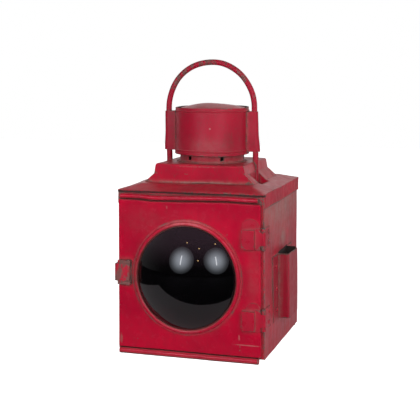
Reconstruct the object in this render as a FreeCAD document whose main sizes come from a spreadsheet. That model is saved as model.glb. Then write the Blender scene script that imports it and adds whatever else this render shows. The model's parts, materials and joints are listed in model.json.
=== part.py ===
import FreeCAD, Part
import math
import os
import Sketcher
from FreeCAD import Placement, Rotation, Vector
from types import SimpleNamespace

# A square sheet-steel lantern with a round bull's-eye lens in a hinged front door, an
# oil font and burner inside, a round drum over the chimney and a fixed bar handle.
# Millimetres. +Z is up and the lens faces -Y. The origin is on the ground, under the
# middle of the case.

SIZES = {
    # case, base and roof
    "case_half": 100,
    "sheet": 1.2,
    "wall_foot": 5,
    "case_top": 213,
    "corner_round": 5,
    "opening_half": 86,
    "opening_low": 20,
    "opening_high": 196,
    "bead_left": 97,
    "bead_right": 93,
    "bead_radius": 4,
    "bead_height": 3.7,
    "bead_reach": 4,
    "foot_radius": 3,
    "foot_height": 2.7,
    "foot_inset": 6,
    "rail_radius": 3,
    "rail_height": 208.5,
    "rail_reach": 2.6,
    "rail_bore": 1.7,
    "rail_bore_depth": 14,
    "roof_half": 101.2,
    "roof_rim": 3.5,
    "roof_flange": 14.5,
    "ledge_half": 77,
    "ledge_height": 223,
    "roof_opening": 58,
    # plinth and the cups that hold the handle's legs
    "plinth_half": 62,
    "plinth_waist_half": 64,
    "plinth_waist": 235,
    "plinth_top": 248,
    "plinth_round": 3,
    "cup_reach": 82.2,
    "cup_front": 41.2,
    "cup_back": 5.4,
    "cup_floor": 216,
    # chimney
    "collar_radius": 45,
    "collar_height": 10.5,
    "collar_flange": 4,
    "slot_width": 4.5,
    "slot_low": 251.5,
    "slot_high": 256.5,
    "tube_radius": 35,
    "tube_low": 236,
    "tube_high": 300,
    "tube_flange": 42,
    "drum_radius": 51,
    "drum_wall": 1,
    "drum_high": 323,
    "drum_mouth": 40,
    "hem_low": 264,
    "hem_high": 318,
    "hem_radius": 1.25,
    "hem_half": 1.2,
    "lid_radius": 45,
    "lid_rim": 322,
    "lid_crown": 328,
    "lid_skirt": 316,
    "spacer_width": 6,
    "spacer_low": 317,
    "spacer_high": 320,
    # handle
    "handle_half": 63,
    "bar_radius": 4,
    "bar_spring": 323,
    "groove_gap": 0.1,
    "sleeve_low": 262,
    "sleeve_high": 317.5,
    "sleeve_gap": 0.05,
    # door and lens
    "door_left": 98,
    "door_right": 96.5,
    "door_low": 9,
    "door_high": 204,
    "door_face": 107,
    "door_back": 101,
    "door_round": 1.5,
    "lens_left": 2.5,
    "lens_height": 105.8,
    "lens_radius": 68.5,
    "lens_seat": 69,
    "lens_dome": 66,
    "lens_edge": 4.5,
    "lens_bulge": 30,
    "lens_rim": 5,
    "bezel_radius": 75,
    "bezel_lip": 66.4,
    "bezel_sheet": 1.2,
    "bezel_bead": 72.8,
    "bezel_bead_in": 67.5,
    "bezel_bead_wall": 1,
    "bezel_bead_radius": 2.65,
    "seal_in": 58,
    "seal_thick": 1,
    "clamp_in": 56,
    "clamp_radius": 75,
    "stud_circle": 71.2,
    "stud_radius": 1.5,
    "stud_length": 8.6,
    "nut_radius": 3.2,
    "nut_thick": 2.4,
    # door hinges
    "hinge_out": 100.5,
    "hinge_front": 107,
    "hinge_tall": 27,
    "hinge_upper": 147,
    "hinge_lower": 43.4,
    "knuckle_radius": 3,
    "knuckle_end": 4.5,
    "knuckle_gap": 0.3,
    "pin_radius": 1.5,
    "pin_bore": 1.55,
    "pin_head": 2.6,
    "head_thick": 0.8,
    "strap": 1.4,
    "strap_plate": 1.2,
    "strap_left": 72.5,
    "strap_box": 89.5,
    "strap_box_proud": 3.8,
    "strap_edge": 97.2,
    "strap_tail": 78,
    "upper_crown_middle": 83.5,
    "upper_crown_radius": 12.5,
    "lower_crown_middle": 87,
    "lower_crown_radius": 9.5,
    "rivet_radius": 1.6,
    "rivet_head": 3,
    "rivet_dome": 1.4,
    # latch
    "latch_left": 82.5,
    "latch_front": 110.9,
    "latch_low": 92.7,
    "latch_high": 124.4,
    "latch_knuckle": 2.5,
    "latch_sheet": 1.1,
    "latch_out": 102.4,
    "latch_bend": 5,
    "latch_tail": 82,
    "hasp_low": 97.3,
    "hasp_high": 119.8,
    "lug_front": 113.2,
    "bracket_left": 97,
    "bracket_right": 79,
    "keeper_depth": 89,
    "keeper_dome": 2.8,
    "keeper_proud": 1,
    # lamp-iron socket on the right wall
    "socket_out": 116,
    "socket_sheet": 1.4,
    "socket_front": 28.4,
    "socket_back": 26.4,
    "socket_flange": 29.5,
    "socket_low": 41.7,
    "socket_high": 128.5,
    "socket_dip": 2,
    "socket_round": 2.5,
    # oil font and burner
    "well_gap": 0.5,
    "font_half": 60,
    "font_front": 48,
    "font_back": 52,
    "font_top": 56,
    "font_wall": 0.8,
    "font_round": 9,
    "neck_out": 9,
    "neck_bore": 7.6,
    "neck_top": 64,
    "neck_side": 38,
    "neck_front": 28,
    "cap_radius": 11,
    "cap_top": 67,
    "cap_gap": 0.08,
    "burner_bore": 14,
    "burner_neck": 17,
    "burner_foot": 20,
    "burner_neck_top": 62,
    "burner_disc": 24,
    "burner_skirt": 58,
    "burner_top": 63.4,
    "cone_base": 21,
    "cone_mouth": 14.5,
    "cone_top": 90,
    "cone_sheet": 0.8,
    "cone_radius": 34,
    "wick_width": 22,
    "wick_thick": 2.6,
    "wick_low": 14,
    "wick_high": 97,
    "wick_gap": 0.3,
    "wick_tube_wall": 0.8,
    "wick_tube_low": 40,
    "wick_tube_high": 93,
    "spindle_height": 73,
    "spindle_radius": 1.2,
    "spindle_left": 8,
    "knob_start": 37,
    "knob_end": 44,
    "knob_radius": 8,
    "sprocket_radius": 3.1,
    "sprocket_tooth": 0.8,
    "sprocket_reach": 3.25,
    "sprocket_place": 4.5,
    "sprocket_thick": 1.6,
    # reflector and clips
    "mirror_radius": 49,
    "mirror_sphere": 80,
    "mirror_sheet": 0.8,
    "mirror_back": 62,
    "mirror_edge": 30,
    "arm_half": 8,
    "arm_thick": 3,
    "arm_plate": 15,
    "clip_high": 32,
    "clip_foot": 14,
    "clip_half": 9,
    "clip_sheet": 1,
}

COLLAR_SLOTS = 6
COLLAR_TURN = -26
CLAMP_STUDS = 4
KNOB_RIBS = 18
CAP_RIBS = 20
SPROCKET_BARS = 4
ROUND_TRIP = 360
CLOSE = 0.05


class Size:
    """A length that carries both its number and its formula over the sheet."""

    def __init__(self, value, text):
        self.value = value
        self.text = text

    def __add__(self, other):
        other = as_size(other)
        return Size(self.value + other.value, f"({self.text} + {other.text})")

    def __sub__(self, other):
        other = as_size(other)
        return Size(self.value - other.value, f"({self.text} - {other.text})")

    def __mul__(self, other):
        other = as_size(other)
        return Size(self.value * other.value, f"({self.text} * {other.text})")

    def __truediv__(self, other):
        other = as_size(other)
        return Size(self.value / other.value, f"({self.text} / {other.text})")

    def __neg__(self):
        return Size(-self.value, f"(0 - {self.text})")

    def __radd__(self, other):
        return as_size(other) + self

    def __rsub__(self, other):
        return as_size(other) - self


def as_size(number):
    """Let a plain number stand where a Size is wanted."""
    if isinstance(number, Size):
        return number
    return Size(float(number), repr(float(number)))


def root(size):
    """The square root of a Size that holds an area."""
    return Size(math.sqrt(size.value), f"sqrt({size.text})")


def fill_sheet(document):
    """Write every driving dimension to the sheet and name it."""
    sheet = document.addObject("Spreadsheet::Sheet", "Sizes")
    for row, (name, value) in enumerate(SIZES.items(), start=1):
        sheet.set(f"A{row}", name)
        sheet.set(f"B{row}", str(value))
        sheet.setAlias(f"B{row}", name)
    document.recompute()
    return SimpleNamespace(**{name: Size(sheet.get(name), f"Sizes.{name}") for name in SIZES})


doc = FreeCAD.newDocument("lantern")
s = fill_sheet(doc)
nodes = []


# ---------------------------------------------------------------- general helpers


def bind(thing, **sizes):
    """Tie properties of an object to formulas over the sheet."""
    for name, size in sizes.items():
        thing.setExpression(name, as_size(size).text)


def put(thing, at, rotation=Rotation()):
    """Place an object, with each coordinate tied to the sheet."""
    thing.Placement = Placement(Vector(), rotation)
    for letter, size in zip("xyz", at):
        thing.setExpression(f"Placement.Base.{letter}", as_size(size).text)
    return thing


def node(thing, label):
    """Name a finished sub-part and list it for writing."""
    thing.Label = label
    nodes.append(thing)
    return thing


ALONG = {
    "x": Rotation(Vector(0, 1, 0), 90),
    "y": Rotation(Vector(1, 0, 0), -90),
    "z": Rotation(),
}
OUT_FRONT = Rotation(Vector(1, 0, 0), 90)
OUT_RIGHT = Rotation(Vector(0, 1, 0), 90)
OUT_LEFT = Rotation(Vector(0, 1, 0), -90)


# ---------------------------------------------------------------- solid primitives


def block(low, high):
    """A box between two opposite corners."""
    solid = doc.addObject("Part::Box", "Block")
    low = [as_size(size) for size in low]
    bind(solid, Length=high[0] - low[0], Width=high[1] - low[1], Height=high[2] - low[2])
    return put(solid, low)


def rod(start, radius, length, axis="z"):
    """A cylinder from a point along one axis."""
    solid = doc.addObject("Part::Cylinder", "Rod")
    bind(solid, Radius=radius, Height=length)
    return put(solid, start, ALONG[axis])


def ball(centre, radius):
    """A sphere."""
    solid = doc.addObject("Part::Sphere", "Ball")
    bind(solid, Radius=radius)
    return put(solid, centre)


def dome(at, radius, height, rotation):
    """Half an ellipsoid standing on a face."""
    solid = doc.addObject("Part::Ellipsoid", "Dome")
    bind(solid, Radius1=height, Radius2=radius)
    solid.Angle1 = 0
    return put(solid, at, rotation)


def frustum(low, high, low_half, high_half):
    """A four-sided frustum on the lamp's axis."""
    solid = doc.addObject("Part::Wedge", "Frustum")
    bind(solid, Ymin=low, Ymax=high)
    bind(solid, Xmin=-low_half, Xmax=low_half, Zmin=-low_half, Zmax=low_half)
    bind(solid, X2min=-high_half, X2max=high_half, Z2min=-high_half, Z2max=high_half)
    solid.Placement = Placement(Vector(), Rotation(Vector(1, 0, 0), 90))
    return solid


def fuse(*pieces):
    """Join solids into one."""
    solid = doc.addObject("Part::MultiFuse", "Joined")
    solid.Shapes = list(pieces)
    solid.Refine = True
    return solid


def cut(base, *tools):
    """Take one or more solids out of another."""
    solid = doc.addObject("Part::Cut", "Trimmed")
    solid.Base = base
    solid.Tool = tools[0] if len(tools) == 1 else fuse(*tools)
    solid.Refine = True
    return solid


def common(*pieces):
    """Keep only what the solids share."""
    solid = doc.addObject("Part::MultiCommon", "Shared")
    solid.Shapes = list(pieces)
    return solid


def group(pieces):
    """Several separate solids that make up one sub-part."""
    solid = doc.addObject("Part::Compound", "Group")
    solid.Links = list(pieces)
    return solid


# ---------------------------------------------------------------- PartDesign helpers


def new_body(name):
    """An empty body."""
    return doc.addObject("PartDesign::Body", f"{name}_body")


def sketch_on(body, role, lift=0):
    """A sketch on one of the body's origin planes, moved along the plane's normal."""
    plane = next(item for item in body.Origin.OriginFeatures if item.Role == role)
    sketch = body.newObject("Sketcher::SketchObject", "Sketch")
    sketch.AttachmentSupport = [(plane, "")]
    sketch.MapMode = "FlatFace"
    sketch.setExpression(".AttachmentOffset.Base.z", as_size(lift).text)
    return sketch


def fix(sketch, kind, *where, size):
    """Add one dimension to a sketch and tie it to the sheet."""
    index = sketch.addConstraint(Sketcher.Constraint(kind, *where, size.value))
    sketch.setExpression(f"Constraints[{index}]", size.text)


def edge_between(start, end, bend):
    """A straight edge, or the shorter arc of a radius."""
    first = Vector(start[0].value, start[1].value, 0)
    last = Vector(end[0].value, end[1].value, 0)
    if bend is None:
        return Part.LineSegment(first, last)
    way = last - first
    half = way.Length / 2
    right = Vector(way.y, -way.x, 0).normalize()
    rise = abs(bend.value) - math.sqrt(bend.value ** 2 - half ** 2)
    if bend.value > 0:
        return Part.Arc(first, (first + last) / 2 + right * rise, last)
    return Part.Arc(last, (first + last) / 2 - right * rise, first)


def outline(sketch, points):
    """A closed outline. A third value on a point is the radius of the arc that ends there.

    The arc is convex on the right of the way round, or on the left if the value is negative.
    """
    points = [(as_size(x), as_size(y), *bend) for x, y, *bend in points]
    first = sketch.GeometryCount
    for index, start in enumerate(points):
        end = points[(index + 1) % len(points)]
        bend = end[2] if len(end) > 2 else None
        sketch.addGeometry(edge_between(start, end, bend), False)
    swapped = [len(end) > 2 and end[2].value < 0 for end in points[1:] + points[:1]]
    begins = [2 if swap else 1 for swap in swapped]
    for index, start in enumerate(points):
        edge = first + index
        following = (index + 1) % len(points)
        sketch.addConstraint(Sketcher.Constraint(
            "Coincident", edge, 3 - begins[index], first + following, begins[following]))
        fix(sketch, "DistanceX", edge, begins[index], size=start[0])
        fix(sketch, "DistanceY", edge, begins[index], size=start[1])
        end = points[following]
        if len(end) > 2:
            fix(sketch, "Radius", edge, size=-end[2] if swapped[index] else end[2])


def rectangle(sketch, low, high):
    """A rectangle between two corners."""
    outline(sketch, [low, (high[0], low[1]), high, (low[0], high[1])])


def circle(sketch, x, y, radius):
    """A circle with its centre and radius tied to the sheet."""
    x, y = as_size(x), as_size(y)
    round_line = Part.Circle(Vector(x.value, y.value, 0), Vector(0, 0, 1), radius.value)
    index = sketch.addGeometry(round_line, False)
    centre = 3
    fix(sketch, "DistanceX", index, centre, size=x)
    fix(sketch, "DistanceY", index, centre, size=y)
    fix(sketch, "Radius", index, size=radius)


def pad(body, sketch, length, backwards=False):
    """Raise a sketch into a solid."""
    feature = body.newObject("PartDesign::Pad", "Pad")
    feature.Profile = sketch
    feature.Reversed = backwards
    bind(feature, Length=length)
    doc.recompute()
    return feature


def pocket(body, sketch, length, backwards=False):
    """Sink a sketch into the solid, against its normal unless backwards is set."""
    volume = body.Shape.Volume
    feature = body.newObject("PartDesign::Pocket", "Pocket")
    feature.Profile = sketch
    feature.Reversed = backwards
    bind(feature, Length=length)
    doc.recompute()
    if body.Shape.Volume >= volume:
        raise RuntimeError(f"{body.Label}: a pocket cuts nothing")
    return feature


def turned(name, points, at=(0, 0, 0), rotation=Rotation()):
    """A body turned about its own Z from a half outline of radius and height."""
    body = new_body(name)
    sketch = sketch_on(body, "XZ_Plane")
    outline(sketch, points)
    feature = body.newObject("PartDesign::Revolution", "Turning")
    feature.Profile = sketch
    feature.ReferenceAxis = (sketch, ["V_Axis"])
    feature.Angle = ROUND_TRIP
    doc.recompute()
    return put(body, at, rotation)


def round_edges(body, radius, chosen, upright=False):
    """Fillet the edges whose ends both pass a test, or only the upright ones of them."""
    base = body.Tip
    names = []
    for index, edge in enumerate(base.Shape.Edges, start=1):
        ends = [vertex.Point for vertex in edge.Vertexes]
        stands = len(ends) == 2 and near(ends[0].x, ends[1].x) and near(ends[0].y, ends[1].y)
        if len(ends) == 2 and all(chosen(end) for end in ends) and (stands or not upright):
            names.append(f"Edge{index}")
    fillet = body.newObject("PartDesign::Fillet", "Fillet")
    fillet.Base = (base, names)
    bind(fillet, Radius=radius)
    doc.recompute()
    return fillet


def repeat_round(body, feature, axis_sketch, count):
    """Repeat a feature round the normal of a sketch."""
    pattern = body.newObject("PartDesign::PolarPattern", "Repeat")
    pattern.Originals = [feature]
    pattern.Axis = (axis_sketch, ["N_Axis"])
    pattern.Angle = ROUND_TRIP
    pattern.Occurrences = count
    body.Tip = pattern
    doc.recompute()
    return pattern


def near(value, size):
    """True where a coordinate is at a size."""
    return abs(value - as_size(size).value) < CLOSE


# ---------------------------------------------------------------- places used by several parts

case_in = s.case_half - s.sheet
base_top = s.wall_foot + s.sheet
roof_rim_top = s.case_top + s.roof_rim
drum_low = s.plinth_top + s.collar_height
hinge_lows = {"upper": s.hinge_upper, "lower": s.hinge_lower}
hinge_rivet_y = -(s.strap_tail + s.rivet_head * 2)
hinge_rivet_rise = s.hinge_tall / 4
socket_middle = (s.socket_low + s.socket_high) / 2
socket_rivet_step = (s.socket_high - s.socket_low) / 3
latch_middle = (s.latch_low + s.latch_high) / 2


def hinge_rivet_places():
    """Depth and height of each rivet that holds a hinge leaf to the right wall."""
    return [(hinge_rivet_y, low + hinge_rivet_rise * quarter)
            for low in hinge_lows.values() for quarter in (1, 3)]


def socket_rivet_places():
    """Depth and height of each rivet in the socket's two flanges."""
    front = -(s.socket_front + s.socket_flange / 2)
    back = s.socket_back + s.socket_flange / 2
    return [(depth, socket_middle + socket_rivet_step * step)
            for depth in (front, back) for step in (-1, 0, 1)]


# ---------------------------------------------------------------- case


def make_case_wrap():
    """Back and two sides bent from one sheet, open to the front."""
    body = new_body("case_wrap")
    sketch = sketch_on(body, "XY_Plane", s.wall_foot)
    half = s.case_half
    outline(sketch, [(-half, -half), (-case_in, -half), (-case_in, case_in), (case_in, case_in),
                     (case_in, -half), (half, -half), (half, half), (-half, half)])
    pad(body, sketch, s.case_top - s.wall_foot)
    round_edges(body, s.corner_round, lambda p: near(abs(p.x), half) and near(p.y, half), upright=True)
    round_edges(body, s.corner_round - s.sheet,
                lambda p: near(abs(p.x), case_in) and near(p.y, case_in), upright=True)
    holes = sketch_on(body, "YZ_Plane", half + s.sheet)
    for depth, height in hinge_rivet_places() + socket_rivet_places():
        circle(holes, depth, height, s.rivet_radius)
    pocket(body, holes, s.sheet * 3)
    node(body, "case_wrap")


def make_front_frame():
    """Flat frame round the door opening, with a rolled rail along its top."""
    body = new_body("front_frame")
    sketch = sketch_on(body, "XZ_Plane", s.case_half)
    rectangle(sketch, (-case_in, base_top), (case_in, s.case_top))
    rectangle(sketch, (-s.opening_half, s.opening_low), (s.opening_half, s.opening_high))
    pad(body, sketch, s.sheet, backwards=True)
    rail = sketch_on(body, "YZ_Plane", -s.bead_left)
    circle(rail, -(s.case_half + s.rail_reach), s.rail_height, s.rail_radius)
    pad(body, rail, s.bead_left + s.bead_right)
    bore = sketch_on(body, "YZ_Plane", s.bead_right)
    circle(bore, -(s.case_half + s.rail_reach), s.rail_height, s.rail_bore)
    pocket(body, bore, s.rail_bore_depth)
    node(body, "front_frame")


def make_base_plate():
    """Floor of the case, with a shallow well for the font between two rolled feet."""
    body = new_body("base_plate")
    floor = sketch_on(body, "XY_Plane", s.wall_foot)
    front = s.case_half + s.bead_reach
    outline(floor, [(-s.bead_left, -front), (s.bead_right, -front), (s.bead_right, -case_in),
                    (case_in, -case_in), (case_in, case_in), (-case_in, case_in),
                    (-case_in, -case_in), (-s.bead_left, -case_in)])
    pad(body, floor, s.sheet)
    round_edges(body, s.corner_round - s.sheet,
                lambda p: near(abs(p.x), case_in) and near(p.y, case_in), upright=True)
    gap = s.well_gap
    well = sketch_on(body, "XY_Plane")
    rectangle(well, (-s.font_half - gap - s.sheet, -s.font_front - gap - s.sheet),
              (s.font_half + gap + s.sheet, s.font_back + gap + s.sheet))
    pad(body, well, base_top)
    room = sketch_on(body, "XY_Plane", base_top)
    rectangle(room, (-s.font_half - gap, -s.font_front - gap), (s.font_half + gap, s.font_back + gap))
    pocket(body, room, s.wall_foot)
    bead = sketch_on(body, "YZ_Plane", -s.bead_left)
    circle(bead, -front, s.bead_height, s.bead_radius)
    pad(body, bead, s.bead_left + s.bead_right)
    foot = sketch_on(body, "YZ_Plane", -s.bead_left)
    circle(foot, s.case_half - s.foot_inset, s.foot_height, s.foot_radius)
    pad(body, foot, s.bead_left * 2)
    ground = sketch_on(body, "XY_Plane")
    rectangle(ground, (-s.case_half * 2, -s.case_half * 2), (s.case_half * 2, s.case_half * 2))
    pocket(body, ground, s.bead_radius)
    node(body, "base_plate")


# ---------------------------------------------------------------- roof, plinth and leg cups


def cup_envelope(side):
    """The outside of the pressed cup that one leg of the handle stands in."""
    low, high = s.plinth_waist_half - s.sheet, s.cup_reach
    if side < 0:
        low, high = -high, -low
    return block((low, -s.cup_front, s.cup_floor - s.sheet), (high, s.cup_back, s.plinth_waist))


def leg_space(side, margin, high):
    """One leg of the handle up to a height, swollen by a margin."""
    low = s.cup_floor - s.sheet
    return rod((s.handle_half * side, 0, low), s.bar_radius + margin, high - low)


def roof_envelope():
    """The outside of the roof's rim and of its four slopes."""
    half = s.roof_half
    return fuse(block((-half, -half, s.case_top), (half, half, roof_rim_top)),
                frustum(roof_rim_top, s.ledge_height, half, s.ledge_half))


def plinth_envelope():
    """The outside of the plinth's flare and of its walls, rounded along the top."""
    sharp = fuse(frustum(s.ledge_height, s.plinth_waist, s.ledge_half, s.plinth_waist_half),
                 frustum(s.plinth_waist, s.plinth_top, s.plinth_waist_half, s.plinth_half))
    doc.recompute()
    rounded = doc.addObject("Part::Fillet", "Rounded")
    rounded.Base = sharp
    radius = s.plinth_round.value
    rounded.Edges = [(index, radius, radius) for index, edge in enumerate(sharp.Shape.Edges, start=1)
                     if all(near(vertex.Z, s.plinth_top) for vertex in edge.Vertexes)]
    return rounded


def make_roof_and_plinth():
    """Hipped roof, the flared plinth on it, and the two cups let into both."""
    roof_outside = roof_envelope()
    plinth_outside = plinth_envelope()
    cups = [cup_envelope(side) for side in (-1, 1)]
    linings = [leg_space(side, s.groove_gap + s.sheet, s.ledge_height) for side in (-1, 1)]
    make_roof_plate(roof_outside, cups + linings)
    make_plinth(plinth_outside, cups)
    outside = fuse(roof_outside, plinth_outside)
    for side, cup, lining, name in zip((-1, 1), cups, linings, ("left", "right")):
        make_leg_cup(side, cup, lining, outside, name)


def make_roof_plate(outside, openings):
    """Roof pressed with a hemmed rim, four slopes and a flange down each side wall."""
    inside = frustum(s.case_top, s.ledge_height - s.sheet, case_in, s.ledge_half - s.sheet)
    hole = block((-s.roof_opening, -s.roof_opening, s.case_top),
                 (s.roof_opening, s.roof_opening, s.ledge_height + s.sheet))
    flanges = [block((low, -s.case_half, s.case_top - s.roof_flange), (high, s.case_half, s.case_top))
               for low, high in ((-s.roof_half, -s.case_half), (s.case_half, s.roof_half))]
    node(cut(fuse(outside, *flanges), inside, hole, *openings), "roof_plate")


def make_plinth(outside, cups):
    """Flared box with a round mouth, grooved on each side for the handle."""
    inside = fuse(
        frustum(s.ledge_height, s.plinth_waist, s.ledge_half - s.sheet, s.plinth_waist_half - s.sheet),
        frustum(s.plinth_waist, s.plinth_top - s.sheet, s.plinth_waist_half - s.sheet,
                s.plinth_half - s.sheet))
    mouth = rod((0, 0, s.plinth_waist), s.tube_radius, s.plinth_top - s.plinth_waist + s.sheet)
    linings = [common(leg_space(side, s.groove_gap + s.sheet, s.plinth_top), outside) for side in (-1, 1)]
    legs = [leg_space(side, s.groove_gap, s.plinth_top) for side in (-1, 1)]
    node(cut(fuse(cut(outside, inside, mouth), *linings), *cups, *legs), "plinth")


def make_leg_cup(side, envelope, lining, outside, name):
    """Open cup, grooved on its inner wall for the leg that stands on its floor."""
    hollow_in, hollow_out = s.plinth_waist_half, s.cup_reach - s.sheet
    if side < 0:
        hollow_in, hollow_out = -hollow_out, -hollow_in
    hollow = block((hollow_in, -(s.cup_front - s.sheet), s.cup_floor),
                   (hollow_out, s.cup_back - s.sheet, s.plinth_top))
    leg = rod((s.handle_half * side, 0, s.cup_floor), s.bar_radius + s.groove_gap,
              s.plinth_top - s.cup_floor)
    node(cut(fuse(common(envelope, outside), lining), hollow, leg), f"leg_cup_{name}")


# ---------------------------------------------------------------- chimney


def make_collar():
    """Short ring with upright air slots that carries the drum."""
    body = new_body("collar")
    ring = sketch_on(body, "XY_Plane", s.plinth_top)
    circle(ring, 0, 0, s.collar_radius)
    circle(ring, 0, 0, s.collar_radius - s.sheet)
    pad(body, ring, s.collar_height)
    flange = sketch_on(body, "XY_Plane", s.plinth_top)
    circle(flange, 0, 0, s.collar_radius + s.collar_flange)
    circle(flange, 0, 0, s.collar_radius - s.sheet)
    pad(body, flange, s.sheet)
    slot = sketch_on(body, "XZ_Plane")
    rectangle(slot, (-s.slot_width / 2, s.slot_low), (s.slot_width / 2, s.slot_high))
    opening = pocket(body, slot, s.collar_radius + s.sheet, backwards=True)
    repeat_round(body, opening, ring, COLLAR_SLOTS)
    body.Placement = Placement(Vector(), Rotation(Vector(0, 0, 1), COLLAR_TURN))
    node(body, "collar")


def make_chimney_tube():
    """Inner flue with a flange that rests on the plinth."""
    inner = s.tube_radius - s.sheet
    node(turned("chimney_tube", [
        (inner, s.tube_low), (s.tube_radius, s.tube_low), (s.tube_radius, s.plinth_top),
        (s.tube_flange, s.plinth_top), (s.tube_flange, s.plinth_top + s.sheet),
        (s.tube_radius, s.plinth_top + s.sheet), (s.tube_radius, s.tube_high), (inner, s.tube_high),
    ]), "chimney_tube")


def make_drum():
    """Outer drum, open at the top, with two raised hems."""
    inner = s.drum_radius - s.drum_wall
    return node(turned("drum", [
        (s.drum_mouth, drum_low), (s.drum_radius, drum_low),
        (s.drum_radius, s.hem_low - s.hem_half), (s.drum_radius, s.hem_low + s.hem_half, s.hem_radius),
        (s.drum_radius, s.hem_high - s.hem_half), (s.drum_radius, s.hem_high + s.hem_half, s.hem_radius),
        (s.drum_radius, s.drum_high), (inner, s.drum_high),
        (inner, drum_low + s.sheet), (s.drum_mouth, drum_low + s.sheet),
    ]), "drum")


def make_drum_lid():
    """Shallow domed lid that stands clear inside the drum's rim."""
    rise = s.lid_crown - s.lid_rim
    curve = (s.lid_radius * s.lid_radius + rise * rise) / (rise * 2)
    inner = s.lid_radius - s.drum_wall
    under = curve - s.drum_wall
    shoulder = s.lid_crown - curve + root(under * under - inner * inner)
    node(turned("drum_lid", [
        (inner, s.lid_skirt), (s.lid_radius, s.lid_skirt), (s.lid_radius, s.lid_rim),
        (0, s.lid_crown, curve), (0, s.lid_crown - s.drum_wall), (inner, shoulder, -under),
    ]), "drum_lid")


def make_lid_spacers():
    """Four tabs that hold the lid off the drum."""
    height = s.spacer_high - s.spacer_low
    inner = s.drum_radius - s.drum_wall
    gap = cut(rod((0, 0, s.spacer_low), inner, height), rod((0, 0, s.spacer_low), s.lid_radius, height))
    half = s.spacer_width / 2
    cross = fuse(block((-inner, -half, s.spacer_low), (inner, half, s.spacer_high)),
                 block((-half, -inner, s.spacer_low), (half, inner, s.spacer_high)))
    node(common(gap, cross), "lid_spacers")


# ---------------------------------------------------------------- handle


def make_handle():
    """Round bar bent to an arch, its legs standing in the two cups."""
    body = new_body("handle")
    half, low, spring = s.handle_half, s.cup_floor, s.bar_spring
    path = sketch_on(body, "XZ_Plane")
    path.addGeometry(Part.LineSegment(Vector(-half.value, low.value, 0),
                                      Vector(-half.value, spring.value, 0)))
    path.addGeometry(Part.ArcOfCircle(
        Part.Circle(Vector(0, spring.value, 0), Vector(0, 0, 1), half.value), 0, math.pi))
    path.addGeometry(Part.LineSegment(Vector(half.value, spring.value, 0),
                                      Vector(half.value, low.value, 0)))
    path.addConstraint(Sketcher.Constraint("Coincident", 0, 2, 1, 2))
    path.addConstraint(Sketcher.Constraint("Coincident", 1, 1, 2, 1))
    fix(path, "DistanceX", 0, 1, size=-half)
    fix(path, "DistanceY", 0, 1, size=low)
    fix(path, "DistanceX", 0, 2, size=-half)
    fix(path, "DistanceY", 0, 2, size=spring)
    fix(path, "DistanceX", 2, 1, size=half)
    fix(path, "DistanceY", 2, 1, size=spring)
    fix(path, "DistanceX", 2, 2, size=half)
    fix(path, "DistanceY", 2, 2, size=low)
    fix(path, "DistanceY", 1, 3, size=spring)
    section = sketch_on(body, "XY_Plane", low)
    circle(section, -half, 0, s.bar_radius)
    pipe = body.newObject("PartDesign::AdditivePipe", "Bar")
    pipe.Profile = section
    pipe.Spine = path
    doc.recompute()
    node(body, "handle")


def make_sleeve(side, name, drum):
    """Sheet wrapped round one leg and soldered to the drum."""
    tall = s.sleeve_high - s.sleeve_low
    centre = s.handle_half * side
    near_side, far_side = (centre, as_size(0)) if side < 0 else (as_size(0), centre)

    def loop(radius):
        return fuse(block((near_side, -radius, s.sleeve_low), (far_side, radius, s.sleeve_high)),
                    rod((centre, 0, s.sleeve_low), radius, tall))

    inner = s.bar_radius + s.sleeve_gap
    core = rod((0, 0, s.sleeve_low), s.drum_radius, tall)
    node(cut(loop(inner + s.sheet), loop(inner), core, drum), f"handle_sleeve_{name}")


# ---------------------------------------------------------------- door and lens


def make_door_panel():
    """Shallow tray with a hemmed edge and a round hole for the lens."""
    body = new_body("door_panel")
    low, high = (-s.door_left, s.door_low), (s.door_right, s.door_high)
    face = sketch_on(body, "XZ_Plane", s.door_face)
    rectangle(face, low, high)
    pad(body, face, s.door_face - s.door_back, backwards=True)
    round_edges(body, s.door_round, lambda p: near(p.y, -s.door_face))
    hollow = sketch_on(body, "XZ_Plane", s.door_back)
    rectangle(hollow, (low[0] + s.sheet, low[1] + s.sheet), (high[0] - s.sheet, high[1] - s.sheet))
    pocket(body, hollow, s.door_face - s.door_back - s.sheet, backwards=True)
    hole = sketch_on(body, "XZ_Plane", s.door_back)
    circle(hole, -s.lens_left, s.lens_height, s.lens_seat)
    pocket(body, hole, s.door_face, backwards=True)
    node(body, "door_panel")


def on_door(name, points):
    """A body turned about the lens's axis, with heights measured out from the door's face."""
    return turned(name, points, (-s.lens_left, -s.door_face, s.lens_height), OUT_FRONT)


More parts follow.
